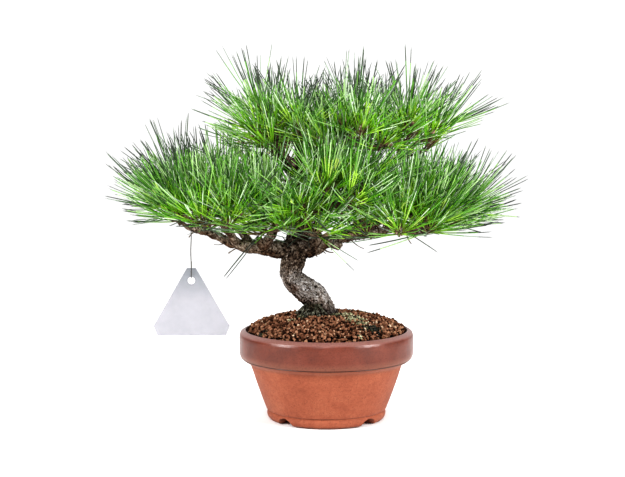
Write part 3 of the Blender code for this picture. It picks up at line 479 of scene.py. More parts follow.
BOUGHS = {
    "bough_left": [(-0.0189, 0.001, 0.1943, 0.0092), (-0.0576, -0.006, 0.1974, 0.0078),
                   (-0.0882, -0.009, 0.2029, 0.0058), (-0.1143, -0.008, 0.2137, 0.0042),
                   (-0.1440, -0.006, 0.2226, 0.0028)],
    "bough_right": [(-0.0177, 0.001, 0.1960, 0.0096), (0.0030, -0.003, 0.1972, 0.0083),
                    (0.0142, -0.006, 0.2032, 0.0070), (0.0404, -0.009, 0.2103, 0.0052),
                    (0.0790, -0.010, 0.2173, 0.0039), (0.1160, -0.008, 0.2195, 0.0028)],
    "bough_front": [(-0.0165, 0.003, 0.2135, 0.0073), (0.0050, -0.036, 0.2230, 0.0064),
                    (0.0170, -0.066, 0.2461, 0.0036)],
    "bough_back": [(-0.0150, 0.006, 0.2290, 0.0058), (-0.0194, 0.052, 0.2406, 0.0044),
                   (-0.0243, 0.072, 0.2508, 0.0033)],
    "bough_back_low": [(-0.0165, 0.004, 0.2110, 0.0058), (0.0080, 0.042, 0.2180, 0.0044),
                       (0.0130, 0.062, 0.2260, 0.0032)],
    "bough_upper_right": [(-0.0110, 0.008, 0.2454, 0.0054), (0.0427, 0.000, 0.2747, 0.0042),
                          (0.0924, -0.005, 0.2977, 0.0028)],
    "bough_upper_left": [(-0.0105, 0.007, 0.2650, 0.0050), (-0.0357, -0.006, 0.2978, 0.0039),
                         (-0.0446, -0.010, 0.3127, 0.0030)],
    "bough_upper_back_right": [(-0.0100, 0.006, 0.2742, 0.0046), (0.0215, 0.044, 0.2997, 0.0034),
                               (0.0334, 0.058, 0.3095, 0.0028)],
    "bough_upper_back_left": [(-0.0120, 0.005, 0.2857, 0.0044), (-0.0378, 0.044, 0.3043, 0.0033),
                              (-0.0475, 0.060, 0.3129, 0.0027)],
    "bough_upper_front": [(-0.0115, 0.005, 0.2835, 0.0044), (0.0073, -0.032, 0.3081, 0.0034),
                          (0.0127, -0.044, 0.3176, 0.0028)],
    "bough_left_front": [(-0.0859, -0.009, 0.2030, 0.0044), (-0.0947, -0.034, 0.2197, 0.0036),
                         (-0.0996, -0.046, 0.2265, 0.0029)],
    "bough_left_back": [(-0.0655, -0.007, 0.1987, 0.0048), (-0.0840, 0.026, 0.2137, 0.0038),
                        (-0.0954, 0.044, 0.2189, 0.0031)],
    "bough_left_inner": [(-0.0560, -0.006, 0.1978, 0.0058), (-0.0475, -0.018, 0.2120, 0.0050),
                         (-0.0420, -0.028, 0.2240, 0.0038)],
    "bough_right_front": [(0.0381, -0.009, 0.2095, 0.0040), (0.0619, -0.042, 0.2250, 0.0034),
                          (0.0736, -0.054, 0.2306, 0.0028)],
    "bough_right_back": [(0.0154, -0.006, 0.2036, 0.0046), (0.0611, 0.034, 0.2246, 0.0038),
                         (0.0839, 0.050, 0.2325, 0.0030)],
    "bough_front_left": [(0.0005, -0.028, 0.2205, 0.0040), (-0.0080, -0.038, 0.2300, 0.0034),
                         (-0.0120, -0.046, 0.2380, 0.0028)],
}
STUBS = [
    [(0.0000, -0.006, 0.2000, 0.0062), (0.0050, -0.014, 0.2090, 0.0056), (0.0062, -0.017, 0.2150, 0.0040)],
    [(0.0200, -0.008, 0.2050, 0.0052), (0.0285, -0.013, 0.2010, 0.0048), (0.0320, -0.015, 0.1985, 0.0036)],
    [(-0.0560, -0.010, 0.2000, 0.0050), (-0.0590, -0.015, 0.2060, 0.0042), (-0.0600, -0.017, 0.2100, 0.0030)],
]
ROOT_LOBES = 4
ROOT_TURN = math.radians(188)
ROOT_FLARE = 0.34
ROOT_HEIGHT = 0.008
LUMP_SIZE = 0.015
KNOB_SIZE = 0.0075
KNOB_HEIGHT = 0.0015
KNOB_LIMB = 0.0055
PLATE_SIZE = 0.0034
FLAKE_SIZE = 0.0016
PLATELET_HALF = np.array((0.00175, 0.00115, 0.00042))
PLATELET_AREA = 6.5e-6
PLATELET_TILT = 0.42
FURROWS = 9
FURROW_TOP = 0.139
FURROW_FADE = 0.010


def unit(vectors):
    """Each row of an array at length one."""
    vectors = np.asarray(vectors, float)
    return vectors / np.linalg.norm(vectors, axis=-1, keepdims=True)


def smooth_path(stations, per_span):
    """Catmull-Rom curve: a cubic through each pair of stations with the slopes of their neighbours."""
    stations = np.asarray(stations, float)
    padded = np.vstack([2.0 * stations[0] - stations[1], stations, 2.0 * stations[-1] - stations[-2]])
    a, b, c, d = (padded[i:len(stations) - 1 + i][:, None] for i in range(4))
    t = (np.arange(per_span) / per_span)[:, None]
    curve = b + 0.5 * ((c - a) * t + (2 * a - 5 * b + 4 * c - d) * t ** 2 + (3 * b - a - 3 * c + d) * t ** 3)
    return np.vstack([curve.reshape(-1, stations.shape[1]), stations[-1]])


def even_path(stations, step):
    """The smooth curve at even steps along its length, and the length at each."""
    fine = smooth_path(stations, 24)
    along = np.append(0.0, np.cumsum(np.linalg.norm(np.diff(fine[:, :3], axis=0), axis=1)))
    places = np.linspace(0.0, along[-1], max(3, int(along[-1] / step)))
    return np.stack([np.interp(places, along, column) for column in fine.T], 1), places


def bark_skin(stations, sides, step, collar, seed, rooted=False):
    """A tube round the path. Its radius adds slow lumps and knobs, sunk cracks where one noise crosses
    zero, and small flakes. A collar widens its foot, and the trunk's foot is lobed into roots. The tube
    comes with how cracked each point is and how far it faces down."""
    path, along = even_path(stations, step)
    way = unit(np.gradient(path[:, :3], axis=0))
    lean = np.eye(3)[np.argmin(np.abs(way.mean(axis=0)))]
    side = unit(np.cross(way, lean))
    across = np.cross(way, side)
    angle = np.arange(sides) * 2.0 * math.pi / sides
    radius = path[:, 3:] * (1.0 + collar * np.exp(-(along[:, None] / (1.6 * path[0, 3])) ** 2))
    local = np.stack(np.broadcast_arrays(radius * np.cos(angle), radius * np.sin(angle), along[:, None]), -1)
    local = local + 7.0 * seed * LUMP_SIZE
    coarse = np.clip(path[:, 3:] / 0.013, 0.36, 1.0)
    warped = local + 0.0016 * noise(local, 0.005, seed + 5)[..., None]
    knobs = np.clip(path[:, 3:] / KNOB_LIMB, 0.25, 1.0) * np.maximum(noise(local, KNOB_SIZE, seed + 1), -0.25)
    lumps_out = 0.10 * radius * noise(local, LUMP_SIZE, seed) + KNOB_HEIGHT * knobs
    plate = noise(warped * (1.0, 1.0, 0.50), PLATE_SIZE, seed + 2)
    groove = np.exp(-(plate / 0.13) ** 2) * np.clip(0.6 + 0.8 * noise(local, 0.011, seed + 7), 0.0, 1.0)
    flake = noise(warped * (1.0, 1.0, 0.62), FLAKE_SIZE, seed + 3)
    cut = np.exp(-(flake / 0.24) ** 2)
    grain = noise(local, 0.0009, seed + 4)
    reach = radius + lumps_out + coarse * (0.0006 - 0.0013 * groove - 0.0008 * cut + 0.0004 * grain)
    if rooted:
        fade = np.exp(-((path[:, 2:3] - SOIL_TOP) / ROOT_HEIGHT) ** 2)
        lobes = 0.5 + 0.5 * np.cos(ROOT_LOBES * (angle - ROOT_TURN))
        reach = reach * (1.0 + ROOT_FLARE * fade * (lobes + 0.25 * noise(local, 0.009, seed + 6)))
        low = np.clip((FURROW_TOP - path[:, 2:3]) / FURROW_FADE, 0.0, 1.0)
        wave = np.sin(FURROWS * angle + 2.2 * noise(local * (1.0, 1.0, 0.4), 0.007, seed + 9))
        furrow = low * np.exp(-(wave / 0.30) ** 2)
        reach = reach - 0.0013 * furrow
        groove = np.maximum(groove, furrow)
    ends = np.ones(len(path))
    ends[-1] = 0.05
    reach = reach * ends[:, None]
    skin = path[:, None, :3] + reach[..., None] * (np.cos(angle)[:, None] * side[:, None]
                                                   + np.sin(angle)[:, None] * across[:, None])
    dark = np.clip(0.55 * groove + 0.45 * cut - 0.25 * grain, 0.0, 1.0)
    out = unit(skin - path[:, None, :3])[..., 2]
    under = np.clip(0.35 - 0.75 * out + 0.5 * noise(local, 0.008, seed + 8), 0.0, 1.0)
    return skin, dark, under


def platelets(skin, under, chance):
    """Flat flakes that lie on a skin: lumps squashed along the skin's outward way, longest along the limb,
    their ends lifted by a random tilt. They come with a tone and how far each faces down."""
    centre = skin.mean(axis=1)
    reach = np.linalg.norm(skin[:, 0] - centre, axis=1)
    steps = np.linalg.norm(np.gradient(centre, axis=0), axis=1)
    area = 2.0 * math.pi * reach * steps
    count = int(area.sum() / PLATELET_AREA)
    row = chance.choice(np.arange(1, len(skin) - 1), count, p=area[1:-1] / area[1:-1].sum())
    column = chance.integers(0, skin.shape[1], count)
    place = skin[row, column]
    out = unit(place - centre[row])
    along = unit(np.gradient(centre, axis=0))[row]
    across = unit(np.cross(out, along))
    along = np.cross(across, out)
    tilt = chance.normal(0.0, PLATELET_TILT, (count, 1))
    lifted = unit(along + tilt * out)
    frames = np.stack([lifted, across, np.cross(lifted, across)], 1)
    corners, faces = twenty_faces()
    size = PLATELET_HALF * chance.uniform(0.55, 1.35, (count, 1)) * np.clip(reach[row] / 0.010, 0.6, 1.0)[:, None]
    shapes = corners * chance.uniform(0.75, 1.2, (count, 12, 1)) * size[:, None]
    points = place[:, None] + np.einsum("nki,nij->nkj", shapes, frames)
    joined = (faces[None] + 12 * np.arange(count)[:, None, None]).reshape(-1, 3)
    return points.reshape(-1, 3), joined, np.repeat(chance.beta(0.9, 1.5, count), 12), np.repeat(under[row, column], 12)


# Old pine bark is dry and dull: grey plates over brown, near black in the cracks partly by their own colour and partly
# by painted shade; faces that look down carry painted shade too
bark, shader = surface("grey_plated_pine_bark", "#8A7D74", 0.92, specular_ior_level=0.12)
tree = bark.node_tree
places = add_node(tree, "ShaderNodeTexCoord").outputs["Object"]
old, _ = mottle(tree, places, 0.0065, [(0.30, "#575554"), (0.43, "#8C8A89"), (0.57, "#B6B4B4"),
                                      (0.72, "#E4E4E6")], 8.0, roughness=0.80)
young, fine = mottle(tree, places, 0.0040, [(0.36, "#0C0A09"), (0.46, "#544940"), (0.56, "#9C9186"),
                                            (0.68, "#E2DACF")], 8.0, roughness=0.80)
painted_light_limb_bark, _ = mottle(tree, places, 0.0040, [(0.36, "#1E1A16"), (0.45, "#94887A"), (0.55, "#CCC3B6"),
                                             (0.67, "#FBF6EE")], 8.0, roughness=0.80)
height = add_node(tree, "ShaderNodeSeparateXYZ", [("Vector", places)])
# Painted light: away from the central fork the boughs take a paler bark ramp, standing in for light the crown's shade
# keeps from them.
aside = add_node(tree, "ShaderNodeMath", [(0, height.outputs["X"])], operation="ADD")
aside.inputs[1].default_value = 0.018
aside = add_node(tree, "ShaderNodeMath", [(0, aside.outputs[0])], operation="ABSOLUTE")
painted_light_share = add_node(tree, "ShaderNodeMapRange", [("Value", aside.outputs[0])], From_Min=0.014, From_Max=0.026)
young = blend(tree, "MIX", painted_light_share.outputs["Result"], young, painted_light_limb_bark)
band = add_node(tree, "ShaderNodeMapRange", [("Value", height.outputs["Z"])], From_Min=0.160, From_Max=0.178)
shown = blend(tree, "MIX", band.outputs["Result"], old, young)
low = add_node(tree, "ShaderNodeMapRange", [("Value", height.outputs["Z"])], From_Min=0.1375, From_Max=0.1335)
left = add_node(tree, "ShaderNodeMapRange", [("Value", height.outputs["X"])], From_Min=0.0120, From_Max=0.0070)
mossy = add_node(tree, "ShaderNodeMath", [(0, low.outputs["Result"]), (1, left.outputs["Result"])],
                 operation="MULTIPLY")
moss, _ = mottle(tree, places, 0.0035, [(0.36, "#12110B"), (0.47, "#3E3C30"), (0.58, "#737060"),
                                        (0.72, "#A8A698")], 7.0, roughness=0.75)
shown = blend(tree, "MIX", mossy.outputs[0], shown, moss)
soil_line = add_node(tree, "ShaderNodeMapRange", [("Value", height.outputs["Z"])], From_Min=0.1340, From_Max=0.1220)
shown = blend(tree, "MULTIPLY", soil_line.outputs["Result"], shown, linear("#6E6764"))
shaded = by_tint(tree, "under", [(0.0, "#FFFFFF"), (0.45, "#EFE8E3"), (1.0, "#9C8474")])
shown = blend(tree, "MULTIPLY", 1.0, shown, shaded)
# Partly real colour, partly painted shade: sunk cracks are darkened toward near black; on the flakes this number is a
# random tone.
crack_colour_and_shade = by_tint(tree, "crack", [(0.0, "#FFFFFF"), (0.30, "#CFC6BE"), (0.65, "#54483F"), (1.0, "#1C1612")])
shown = blend(tree, "MULTIPLY", 1.0, shown, crack_colour_and_shade)
fine_marks, _ = mottle(tree, places, 0.0016, [(0.38, "#3C3530"), (0.48, "#A59D96"), (0.58, "#FFFFFF")], 3.0,
                       roughness=0.8)
tree.links.new(blend(tree, "MULTIPLY", 0.70, shown, fine_marks), shader.inputs["Base Color"])
_, grit = mottle(tree, places, 0.0009, [(0.3, "#000000"), (0.7, "#FFFFFF")], 4.0)
relief(tree, shader, grit, 0.6, 0.0004)

flake_sets = []
limbs = {"trunk": (TRUNK, 132, 0.0008, 0.0, True)}
limbs.update({name: (stations, 40, 0.0011, 0.30, False) for name, stations in BOUGHS.items()})
for seed, (name, (stations, sides, step, collar, rooted)) in enumerate(limbs.items(), 11):
    skin, dark, under = bark_skin(stations, sides, step, collar, seed, rooted)
    limb = mesh_object("bark_" + name, skin, ring_faces(len(skin), sides), [bark])
    tint(limb, "crack", dark)
    tint(limb, "under", under)
    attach(limb, "plant")
    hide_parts(name)
    flake_sets.append(platelets(skin, under, np.random.default_rng(seed + 700)))
skins = [bark_skin(stations, 36, 0.0009, 0.25, 60 + k) for k, stations in enumerate(STUBS)]
stub_faces = [ring_faces(len(skin), 36) for skin, _, _ in skins]
first = np.cumsum([0] + [skin.shape[0] * 36 for skin, _, _ in skins])
stubs = mesh_object("bark_stubs", np.concatenate([skin.reshape(-1, 3) for skin, _, _ in skins]),
                    np.concatenate([faces + start for faces, start in zip(stub_faces, first)]), [bark])
tint(stubs, "crack", np.concatenate([dark.ravel() for _, dark, _ in skins]))
tint(stubs, "under", np.concatenate([under.ravel() for _, _, under in skins]))
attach(stubs, "plant")
flake_sets += [platelets(skin, under, np.random.default_rng(800 + k)) for k, (skin, _, under) in enumerate(skins)]
for piece, sets in (("bark_flakes_trunk", flake_sets[:1]), ("bark_flakes_boughs", flake_sets[1:])):
    starts = np.cumsum([0] + [len(flake_set[0]) for flake_set in sets])
    flakes = mesh_object(piece, np.concatenate([flake_set[0] for flake_set in sets]),
                         np.concatenate([flake_set[1] + start for flake_set, start in zip(sets, starts)]), [bark],
                         smooth=False)
    tint(flakes, "crack", np.concatenate([flake_set[2] for flake_set in sets]))
    tint(flakes, "under", np.concatenate([flake_set[3] for flake_set in sets]))
    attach(flakes, "plant")


# The roots that show: a thin lacy mass, dark with moss and damp, that clings to the front left of the
# trunk's foot and dives into the soil.
ROOTS = 40
ROOT_SPAN = (math.radians(150), math.radians(285))
ROOT_WANDER = math.radians(22)
chance = np.random.default_rng(77)


def round_foot(turn, reach, z):
    """Points round the trunk's foot."""
    return np.stack([TRUNK_FOOT[0] + reach * np.cos(turn), TRUNK_FOOT[1] + reach * np.sin(turn), z], -1)


def bent_tubes(start, middle, end, radii, sides, rings, seed, rough=0.0):
    """Tubes along parabolas from start to end by way of middle. The radius is drawn between its values
    at even steps and made uneven by noise; the last ring closes to a point."""
    t = np.linspace(0.0, 1.0, rings)[None, :, None]
    start, middle, end = (np.asarray(p, float)[:, None] for p in (start, middle, end))
    path = (1 - t) ** 2 * start + 2 * t * (1 - t) * middle + t ** 2 * end
    way = unit(2 * (1 - t) * (middle - start) + 2 * t * (end - middle) + 1e-9)
    side = unit(np.cross(way, np.array((0.31, 0.83, 0.46))))
    across = np.cross(way, side)
    radii = np.asarray(radii, float)
    share = np.linspace(0.0, radii.shape[1] - 1.0, rings)
    low = np.minimum(share.astype(int), radii.shape[1] - 2)
    radius = radii[:, low] + (radii[:, low + 1] - radii[:, low]) * (share - low)
    angle = np.arange(sides) * 2.0 * math.pi / sides
    spoke = side[:, :, None] * np.cos(angle)[:, None] + across[:, :, None] * np.sin(angle)[:, None]
    reach = np.repeat(radius[:, :, None], sides, axis=2)
    if rough:
        reach = reach * (1.0 + rough * noise(path[:, :, None] + spoke * 0.002, 0.0024, seed))
    points = path[:, :, None] + spoke * reach[..., None]
    faces = ring_faces(rings, sides)
    count = len(points)
    joined = faces[None] + rings * sides * np.arange(count)[:, None, None]
    return points.reshape(-1, 3), joined.reshape(-1, 4)


mossy_root, shader = surface("mossy_surface_roots", "#4A4E42", 0.95, specular_ior_level=0.12)
tree = mossy_root.node_tree
places = add_node(tree, "ShaderNodeTexCoord").outputs["Object"]
moss, fine = mottle(tree, places, 0.0040, [(0.38, "#12120C"), (0.52, "#444338"), (0.70, "#8E8C82")], 6.0)
tree.links.new(moss, shader.inputs["Base Color"])
relief(tree, shader, fine, 0.7, 0.0005)
turn = chance.uniform(*ROOT_SPAN, ROOTS)
drift = chance.normal(0.0, ROOT_WANDER, ROOTS)
root_top = chance.uniform(0.1250, 0.1350, ROOTS)
start = round_foot(turn, np.full(ROOTS, 0.0150), root_top)
knee = round_foot(turn + 0.4 * drift, chance.uniform(0.0185, 0.0250, ROOTS), 0.45 * root_top + 0.55 * SOIL_TOP)
end = round_foot(turn + drift, chance.uniform(0.0200, 0.0330, ROOTS), chance.uniform(0.1165, 0.1195, ROOTS))
radii = np.outer(chance.uniform(0.0006, 0.0014, ROOTS), [1.0, 1.0, 0.8, 0.6])
points, faces = bent_tubes(start, knee, end, radii, 8, 14, 31, 0.35)
roots = mesh_object("surface_roots", points, faces, [mossy_root])
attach(roots, "plant")


# The twigs: each mass of needles grows from its bough's tip. A stem forks into curved scaly twigs, and
# each twig ends in a resinous brown bud with a ring of needles below it.
MASSES = {
    "needles_left_tip": ("bough_left", (-0.0040, 0.0000, 0.0190), (0.0260, 0.0400, 0.0110), 7,
                         (-0.50, 0.00, 0.70), 0.60, -0.40, 14),
    "needles_left_front": ("bough_left_front", (-0.0130, -0.0120, 0.0100), (0.0360, 0.0320, 0.0200), 6,
                           (-0.15, -0.40, 0.90), 0.65, -0.25, 333),
    "needles_left_back": ("bough_left_back", (-0.0220, 0.0020, 0.0325), (0.0405, 0.0340, 0.0135), 7,
                          (-0.25, 0.35, 0.95), 1.00, -0.10, 285),
    "needles_left_inner": ("bough_left_inner", (-0.0150, -0.0200, 0.0125), (0.0295, 0.0260, 0.0150), 6,
                           (0.00, -0.40, 0.90), 1.05, -0.55, 98),
    "needles_right_tip": ("bough_right", (0.0215, 0.0040, 0.0065), (0.0340, 0.0400, 0.0280), 7,
                          (0.80, 0.00, 0.65), 0.80, -0.30, 19),
    "needles_right_front": ("bough_right_front", (0.0250, -0.0080, -0.0025), (0.0400, 0.0300, 0.0200), 7,
                            (-0.30, -0.45, 0.90), 0.90, -0.40, 75),
    "needles_right_back": ("bough_right_back", (0.0380, 0.0020, 0.0045), (0.0420, 0.0340, 0.0205), 7,
                           (0.05, 0.35, 0.95), 0.85, -0.10, 345),
    "needles_front_centre": ("bough_front", (0.0115, -0.0060, 0.0135), (0.0400, 0.0260, 0.0260), 7,
                             (0.10, -0.45, 0.90), 0.90, -0.30, 207),
    "needles_front_left": ("bough_front_left", (-0.0100, -0.0140, -0.0095), (0.0300, 0.0240, 0.0180), 6,
                           (0.20, -0.45, 0.90), 1.05, -0.40, 147),
    "needles_back_centre": ("bough_back", (0.0080, -0.0040, 0.0320), (0.0540, 0.0300, 0.0220), 7,
                            (0.00, 0.50, 0.85), 0.85, -0.05, 312),
    "needles_back_low": ("bough_back_low", (-0.0070, 0.0120, 0.0115), (0.0460, 0.0260, 0.0130), 6,
                         (0.00, 0.60, 0.80), 1.05, -0.50, 85),
    "needles_upper_right": ("bough_upper_right", (0.0215, -0.0030, 0.0175), (0.0265, 0.0320, 0.0205), 6,
                            (0.70, 0.00, 0.80), 0.65, 0.20, 261),
    "needles_upper_left": ("bough_upper_left", (0.0045, -0.0040, 0.0090), (0.0180, 0.0340, 0.0255), 6,
                           (-0.15, -0.05, 0.95), 0.55, 0.05, 255),
    "needles_top": ("trunk", (0.0210, -0.0030, -0.0035), (0.0240, 0.0320, 0.0195), 6,
                    (0.20, -0.10, 1.00), 0.60, 0.05, 76),
    "needles_upper_back_right": ("bough_upper_back_right", (0.0415, 0.0000, 0.0095),
                                 (0.0380, 0.0300, 0.0195), 6, (0.35, 0.35, 0.90), 0.75, 0.00, 294),
    "needles_upper_back_left": ("bough_upper_back_left", (-0.0010, 0.0060, 0.0040),
                                (0.0235, 0.0300, 0.0230), 6, (-0.05, 0.35, 0.95), 0.70, 0.10, 387),
    "needles_upper_front": ("bough_upper_front", (0.0345, -0.0060, 0.0035), (0.0395, 0.0280, 0.0250), 6,
                            (0.05, -0.35, 0.95), 0.85, 0.00, 70),
}
LEADERS = {
    "needles_left_tip": [((-0.168, 0.000, 0.244), (-0.80, 0.00, 0.55), 1.5),
                         ((-0.146, -0.035, 0.238), (-0.60, -0.35, 0.60), 1.5)],
    "needles_left_front": [((-0.133, -0.035, 0.243), (-0.30, -0.35, 0.85), 1.5),
                           ((-0.092, -0.050, 0.237), (-0.05, -0.40, 0.90), 1.5)],
    "needles_left_back": [((-0.150, 0.010, 0.262), (-0.50, 0.00, 0.85), 1.2)],
    "needles_left_inner": [((-0.062, -0.045, 0.230), (0.00, -0.40, 0.90), 1.5)],
    "needles_front_left": [((-0.044, -0.060, 0.246), (0.10, -0.35, 0.90), 1.5)],
    "needles_front_centre": [((0.000, -0.070, 0.247), (0.10, -0.30, 0.95), 1.5),
                             ((0.028, -0.050, 0.278), (-0.05, -0.25, 0.95), 1.9),
                             ((0.060, -0.070, 0.235), (0.30, -0.35, 0.80), 1.5)],
    "needles_right_front": [((0.111, -0.050, 0.244), (0.20, -0.30, 0.90), 1.5),
                            ((0.131, -0.060, 0.225), (0.50, -0.35, 0.70), 1.5),
                            ((0.097, -0.060, 0.223), (0.15, -0.40, 0.80), 1.3)],
    "needles_right_tip": [((0.168, -0.020, 0.242), (0.80, -0.10, 0.55), 1.5),
                          ((0.142, -0.030, 0.245), (0.50, -0.20, 0.80), 1.5)],
    "needles_upper_front": [((-0.014, -0.040, 0.333), (-0.15, -0.30, 0.95), 2.2),
                            ((0.046, -0.030, 0.336), (0.15, -0.20, 0.95), 2.0)],
    "needles_upper_left": [((-0.061, -0.020, 0.331), (-0.85, -0.10, 0.50), 2.0),
                           ((-0.060, 0.000, 0.352), (-0.35, 0.00, 0.95), 1.8)],
    "needles_upper_right": [((0.105, -0.020, 0.338), (0.25, -0.15, 0.95), 2.0),
                            ((0.146, 0.000, 0.336), (0.95, 0.00, 0.30), 1.6)],
}
LEADER_ROW = 2
STEM_SHARE = 0.55
STEM_LEAST = 0.012
KNEE_LENGTH = 0.004
FORK_SHARE = 0.5
PLACE_NOISE = 0.003
AIM_NOISE = 0.20
VIGOUR = (0.82, 1.10)
SIDE_SHARE = 0.6
GOLDEN_TURN = math.pi * (3.0 - math.sqrt(5.0))
TWIG_RADIUS = 0.0016
SHOOT_RADIUS = 0.0013
SHOOT_LENGTH = 0.015
SIDE_SHOOTS = 1
SIDE_STEP = 0.013
BUD_LENGTH = 0.0065


def pad_shoots(middle, half, count, lean, spread, seed):
    """A pad's shoots: a turned spread over a low dome, aimed up and outward, each of its own vigour."""
    chance = np.random.default_rng(seed)
    index = np.arange(count)
    reach = np.sqrt((index + 0.5) / count)
    turn = index * GOLDEN_TURN + chance.uniform(0.0, 2.0 * math.pi)
    across = reach * np.cos(turn)
    deep = reach * np.sin(turn)
    dome = half[2] * (0.6 - reach ** 2)
    places = np.array(middle) + np.stack([half[0] * across, half[1] * deep, dome], 1)
    places += chance.normal(0.0, PLACE_NOISE, (count, 3))
    outward = spread * np.stack([across, deep, np.zeros(count)], 1)
    aims = unit(unit(lean) + outward + chance.normal(0.0, AIM_NOISE, (count, 3)))
    return places, aims, chance.uniform(*VIGOUR, count)


def grow(name):
    """A mass's stem, twigs and shoots from its bough's tip: the source's pads, with side shoots added.
    A twig is a row: fork, bend, end, foot radius, end radius. A shoot is a row: place, aim, share, vigour."""
    carrier, way, half, count, lean, spread, lowest, seed = MASSES[name]
    stations = TRUNK if carrier == "trunk" else BOUGHS[carrier]
    path = smooth_path(stations, 2)
    tip, direction, radius = path[-1, :3], unit(path[-1, :3] - path[-2, :3]), path[-1, 3]
    way = np.array(way)
    stem_length = max(STEM_LEAST, STEM_SHARE * np.linalg.norm(way))
    hub = tip + unit(direction + unit(way)) * stem_length
    places, aims, vigour = pad_shoots(tip + way, half, count, lean, spread, seed)
    chance = np.random.default_rng(seed + 500)
    order = np.arange(count)
    fork = tip + (hub - tip) * (1.0 - FORK_SHARE * (count - 1 - order) / count)[:, None]
    back = places - aims * 0.5 * SHOOT_LENGTH
    bend = 0.5 * (fork + back) - aims * 0.22 * np.linalg.norm(back - fork, axis=1, keepdims=True)
    bend += chance.normal(0.0, 0.0022, bend.shape)
    twigs = [(tip - direction * 0.003, tip + direction * KNEE_LENGTH, hub, 1.02 * radius, 1.2 * TWIG_RADIUS)]
    twigs += [(f, b, e, 1.25 * TWIG_RADIUS, SHOOT_RADIUS) for f, b, e in zip(fork, bend, back)]
    shoots = [(p, a, 1.0, v) for p, a, v in zip(places, aims, vigour)]
    middle = places.mean(axis=0)
    for place, aim, foot, knee, end in zip(places, aims, fork, bend, back):
        outward = unit(place - middle + chance.normal(0.0, 0.006, 3))
        for step in range(SIDE_SHOOTS):
            turned = unit(aim + 0.55 * outward * (-1) ** step + chance.normal(0.0, 0.28, 3))
            start = 0.35 * foot + 0.65 * end + 0.2 * (knee - 0.5 * (foot + end))
            side_place = end + turned * SIDE_STEP + chance.normal(0.0, 0.003, 3)
            side_back = side_place - turned * 0.5 * SHOOT_LENGTH
            twigs.append((start, 0.5 * (start + side_back) - 0.0015 * turned, side_back,
                          0.95 * TWIG_RADIUS, SHOOT_RADIUS))
            shoots.append((side_place, turned, SIDE_SHARE, VIGOUR[0]))
    leaders = []
    for place, aim, share in LEADERS.get(name, ()):
        place, aim = np.array(place), unit(aim)
        back = place - aim * 0.5 * SHOOT_LENGTH
        bend = 0.5 * (hub + back) - aim * 0.22 * np.linalg.norm(back - hub)
        twigs.append((hub, bend, back, 1.25 * TWIG_RADIUS, SHOOT_RADIUS))
        leaders.append((place, aim, share, 1.0))
    return twigs, shoots, leaders


# Young pine twigs are ribbed with leaf scales and turn from green brown to orange brown near the buds
twig_bark, shader = surface("scaly_young_bark", "#7A6A45", 0.8)
tree = twig_bark.node_tree
places = add_node(tree, "ShaderNodeTexCoord").outputs["Object"]
scales, fine = mottle(tree, places, 0.0022, [(0.32, "#2A2018"), (0.50, "#544332"), (0.70, "#84705A")], 4.0)
tree.links.new(scales, shader.inputs["Base Color"])
relief(tree, shader, fine, 0.7, 0.0006)

# Winter buds are wrapped in dry red brown scales with pale resin at their edges
bud_scale, shader = surface("resinous_bud_scales", "#9A6B4A", 0.6)
tree = bud_scale.node_tree
places = add_node(tree, "ShaderNodeTexCoord").outputs["Object"]
scales, fine = mottle(tree, places, 0.0014, [(0.30, "#4A372B"), (0.52, "#7C6350"), (0.72, "#B8A48E")], 3.0)
tree.links.new(scales, shader.inputs["Base Color"])
relief(tree, shader, fine, 0.5, 0.0004)

grown = {}
for seed, name in enumerate(MASSES, 200):
    twigs, shoots, leaders = grow(name)
    grown[name] = shoots, leaders
    start, middle, end = (np.array([twig[k] for twig in twigs]) for k in range(3))
    radii = np.array([[twig[3], 0.5 * (twig[3] + twig[4]), twig[4], 0.9 * twig[4], 0.2 * twig[4]] for twig in twigs])
    points, faces = bent_tubes(start, middle, end, radii, 8, 12, seed, 0.30)
    place = np.array([shoot[0] for shoot in shoots + leaders])
    aim = np.array([shoot[1] for shoot in shoots + leaders])
    head = place + aim * 0.5 * SHOOT_LENGTH
    core = np.repeat([[SHOOT_RADIUS, 1.25 * SHOOT_RADIUS, 1.3 * SHOOT_RADIUS, SHOOT_RADIUS]], len(place), axis=0)
    more, more_faces = bent_tubes(place - aim * 0.55 * SHOOT_LENGTH, place, head, core, 8, 7, seed + 50, 0.25)
    bud_line = np.repeat([[0.0010, 0.0017, 0.0018, 0.0014, 0.0008, 0.0001]], len(place), axis=0)
    buds, bud_faces = bent_tubes(head - aim * 0.001, head + aim * 0.5 * BUD_LENGTH, head + aim * BUD_LENGTH,
                                 bud_line, 8, 8, seed + 90, 0.12)
    every = np.concatenate([points, more, buds])
    joined = np.concatenate([faces, more_faces + len(points), bud_faces + len(points) + len(more)])
    kinds = np.concatenate([np.zeros(len(faces) + len(more_faces)), np.ones(len(bud_faces))])
    twig_piece = mesh_object(name.replace("needles", "twigs"), every, joined, [twig_bark, bud_scale], kinds)
    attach(twig_piece, "plant")


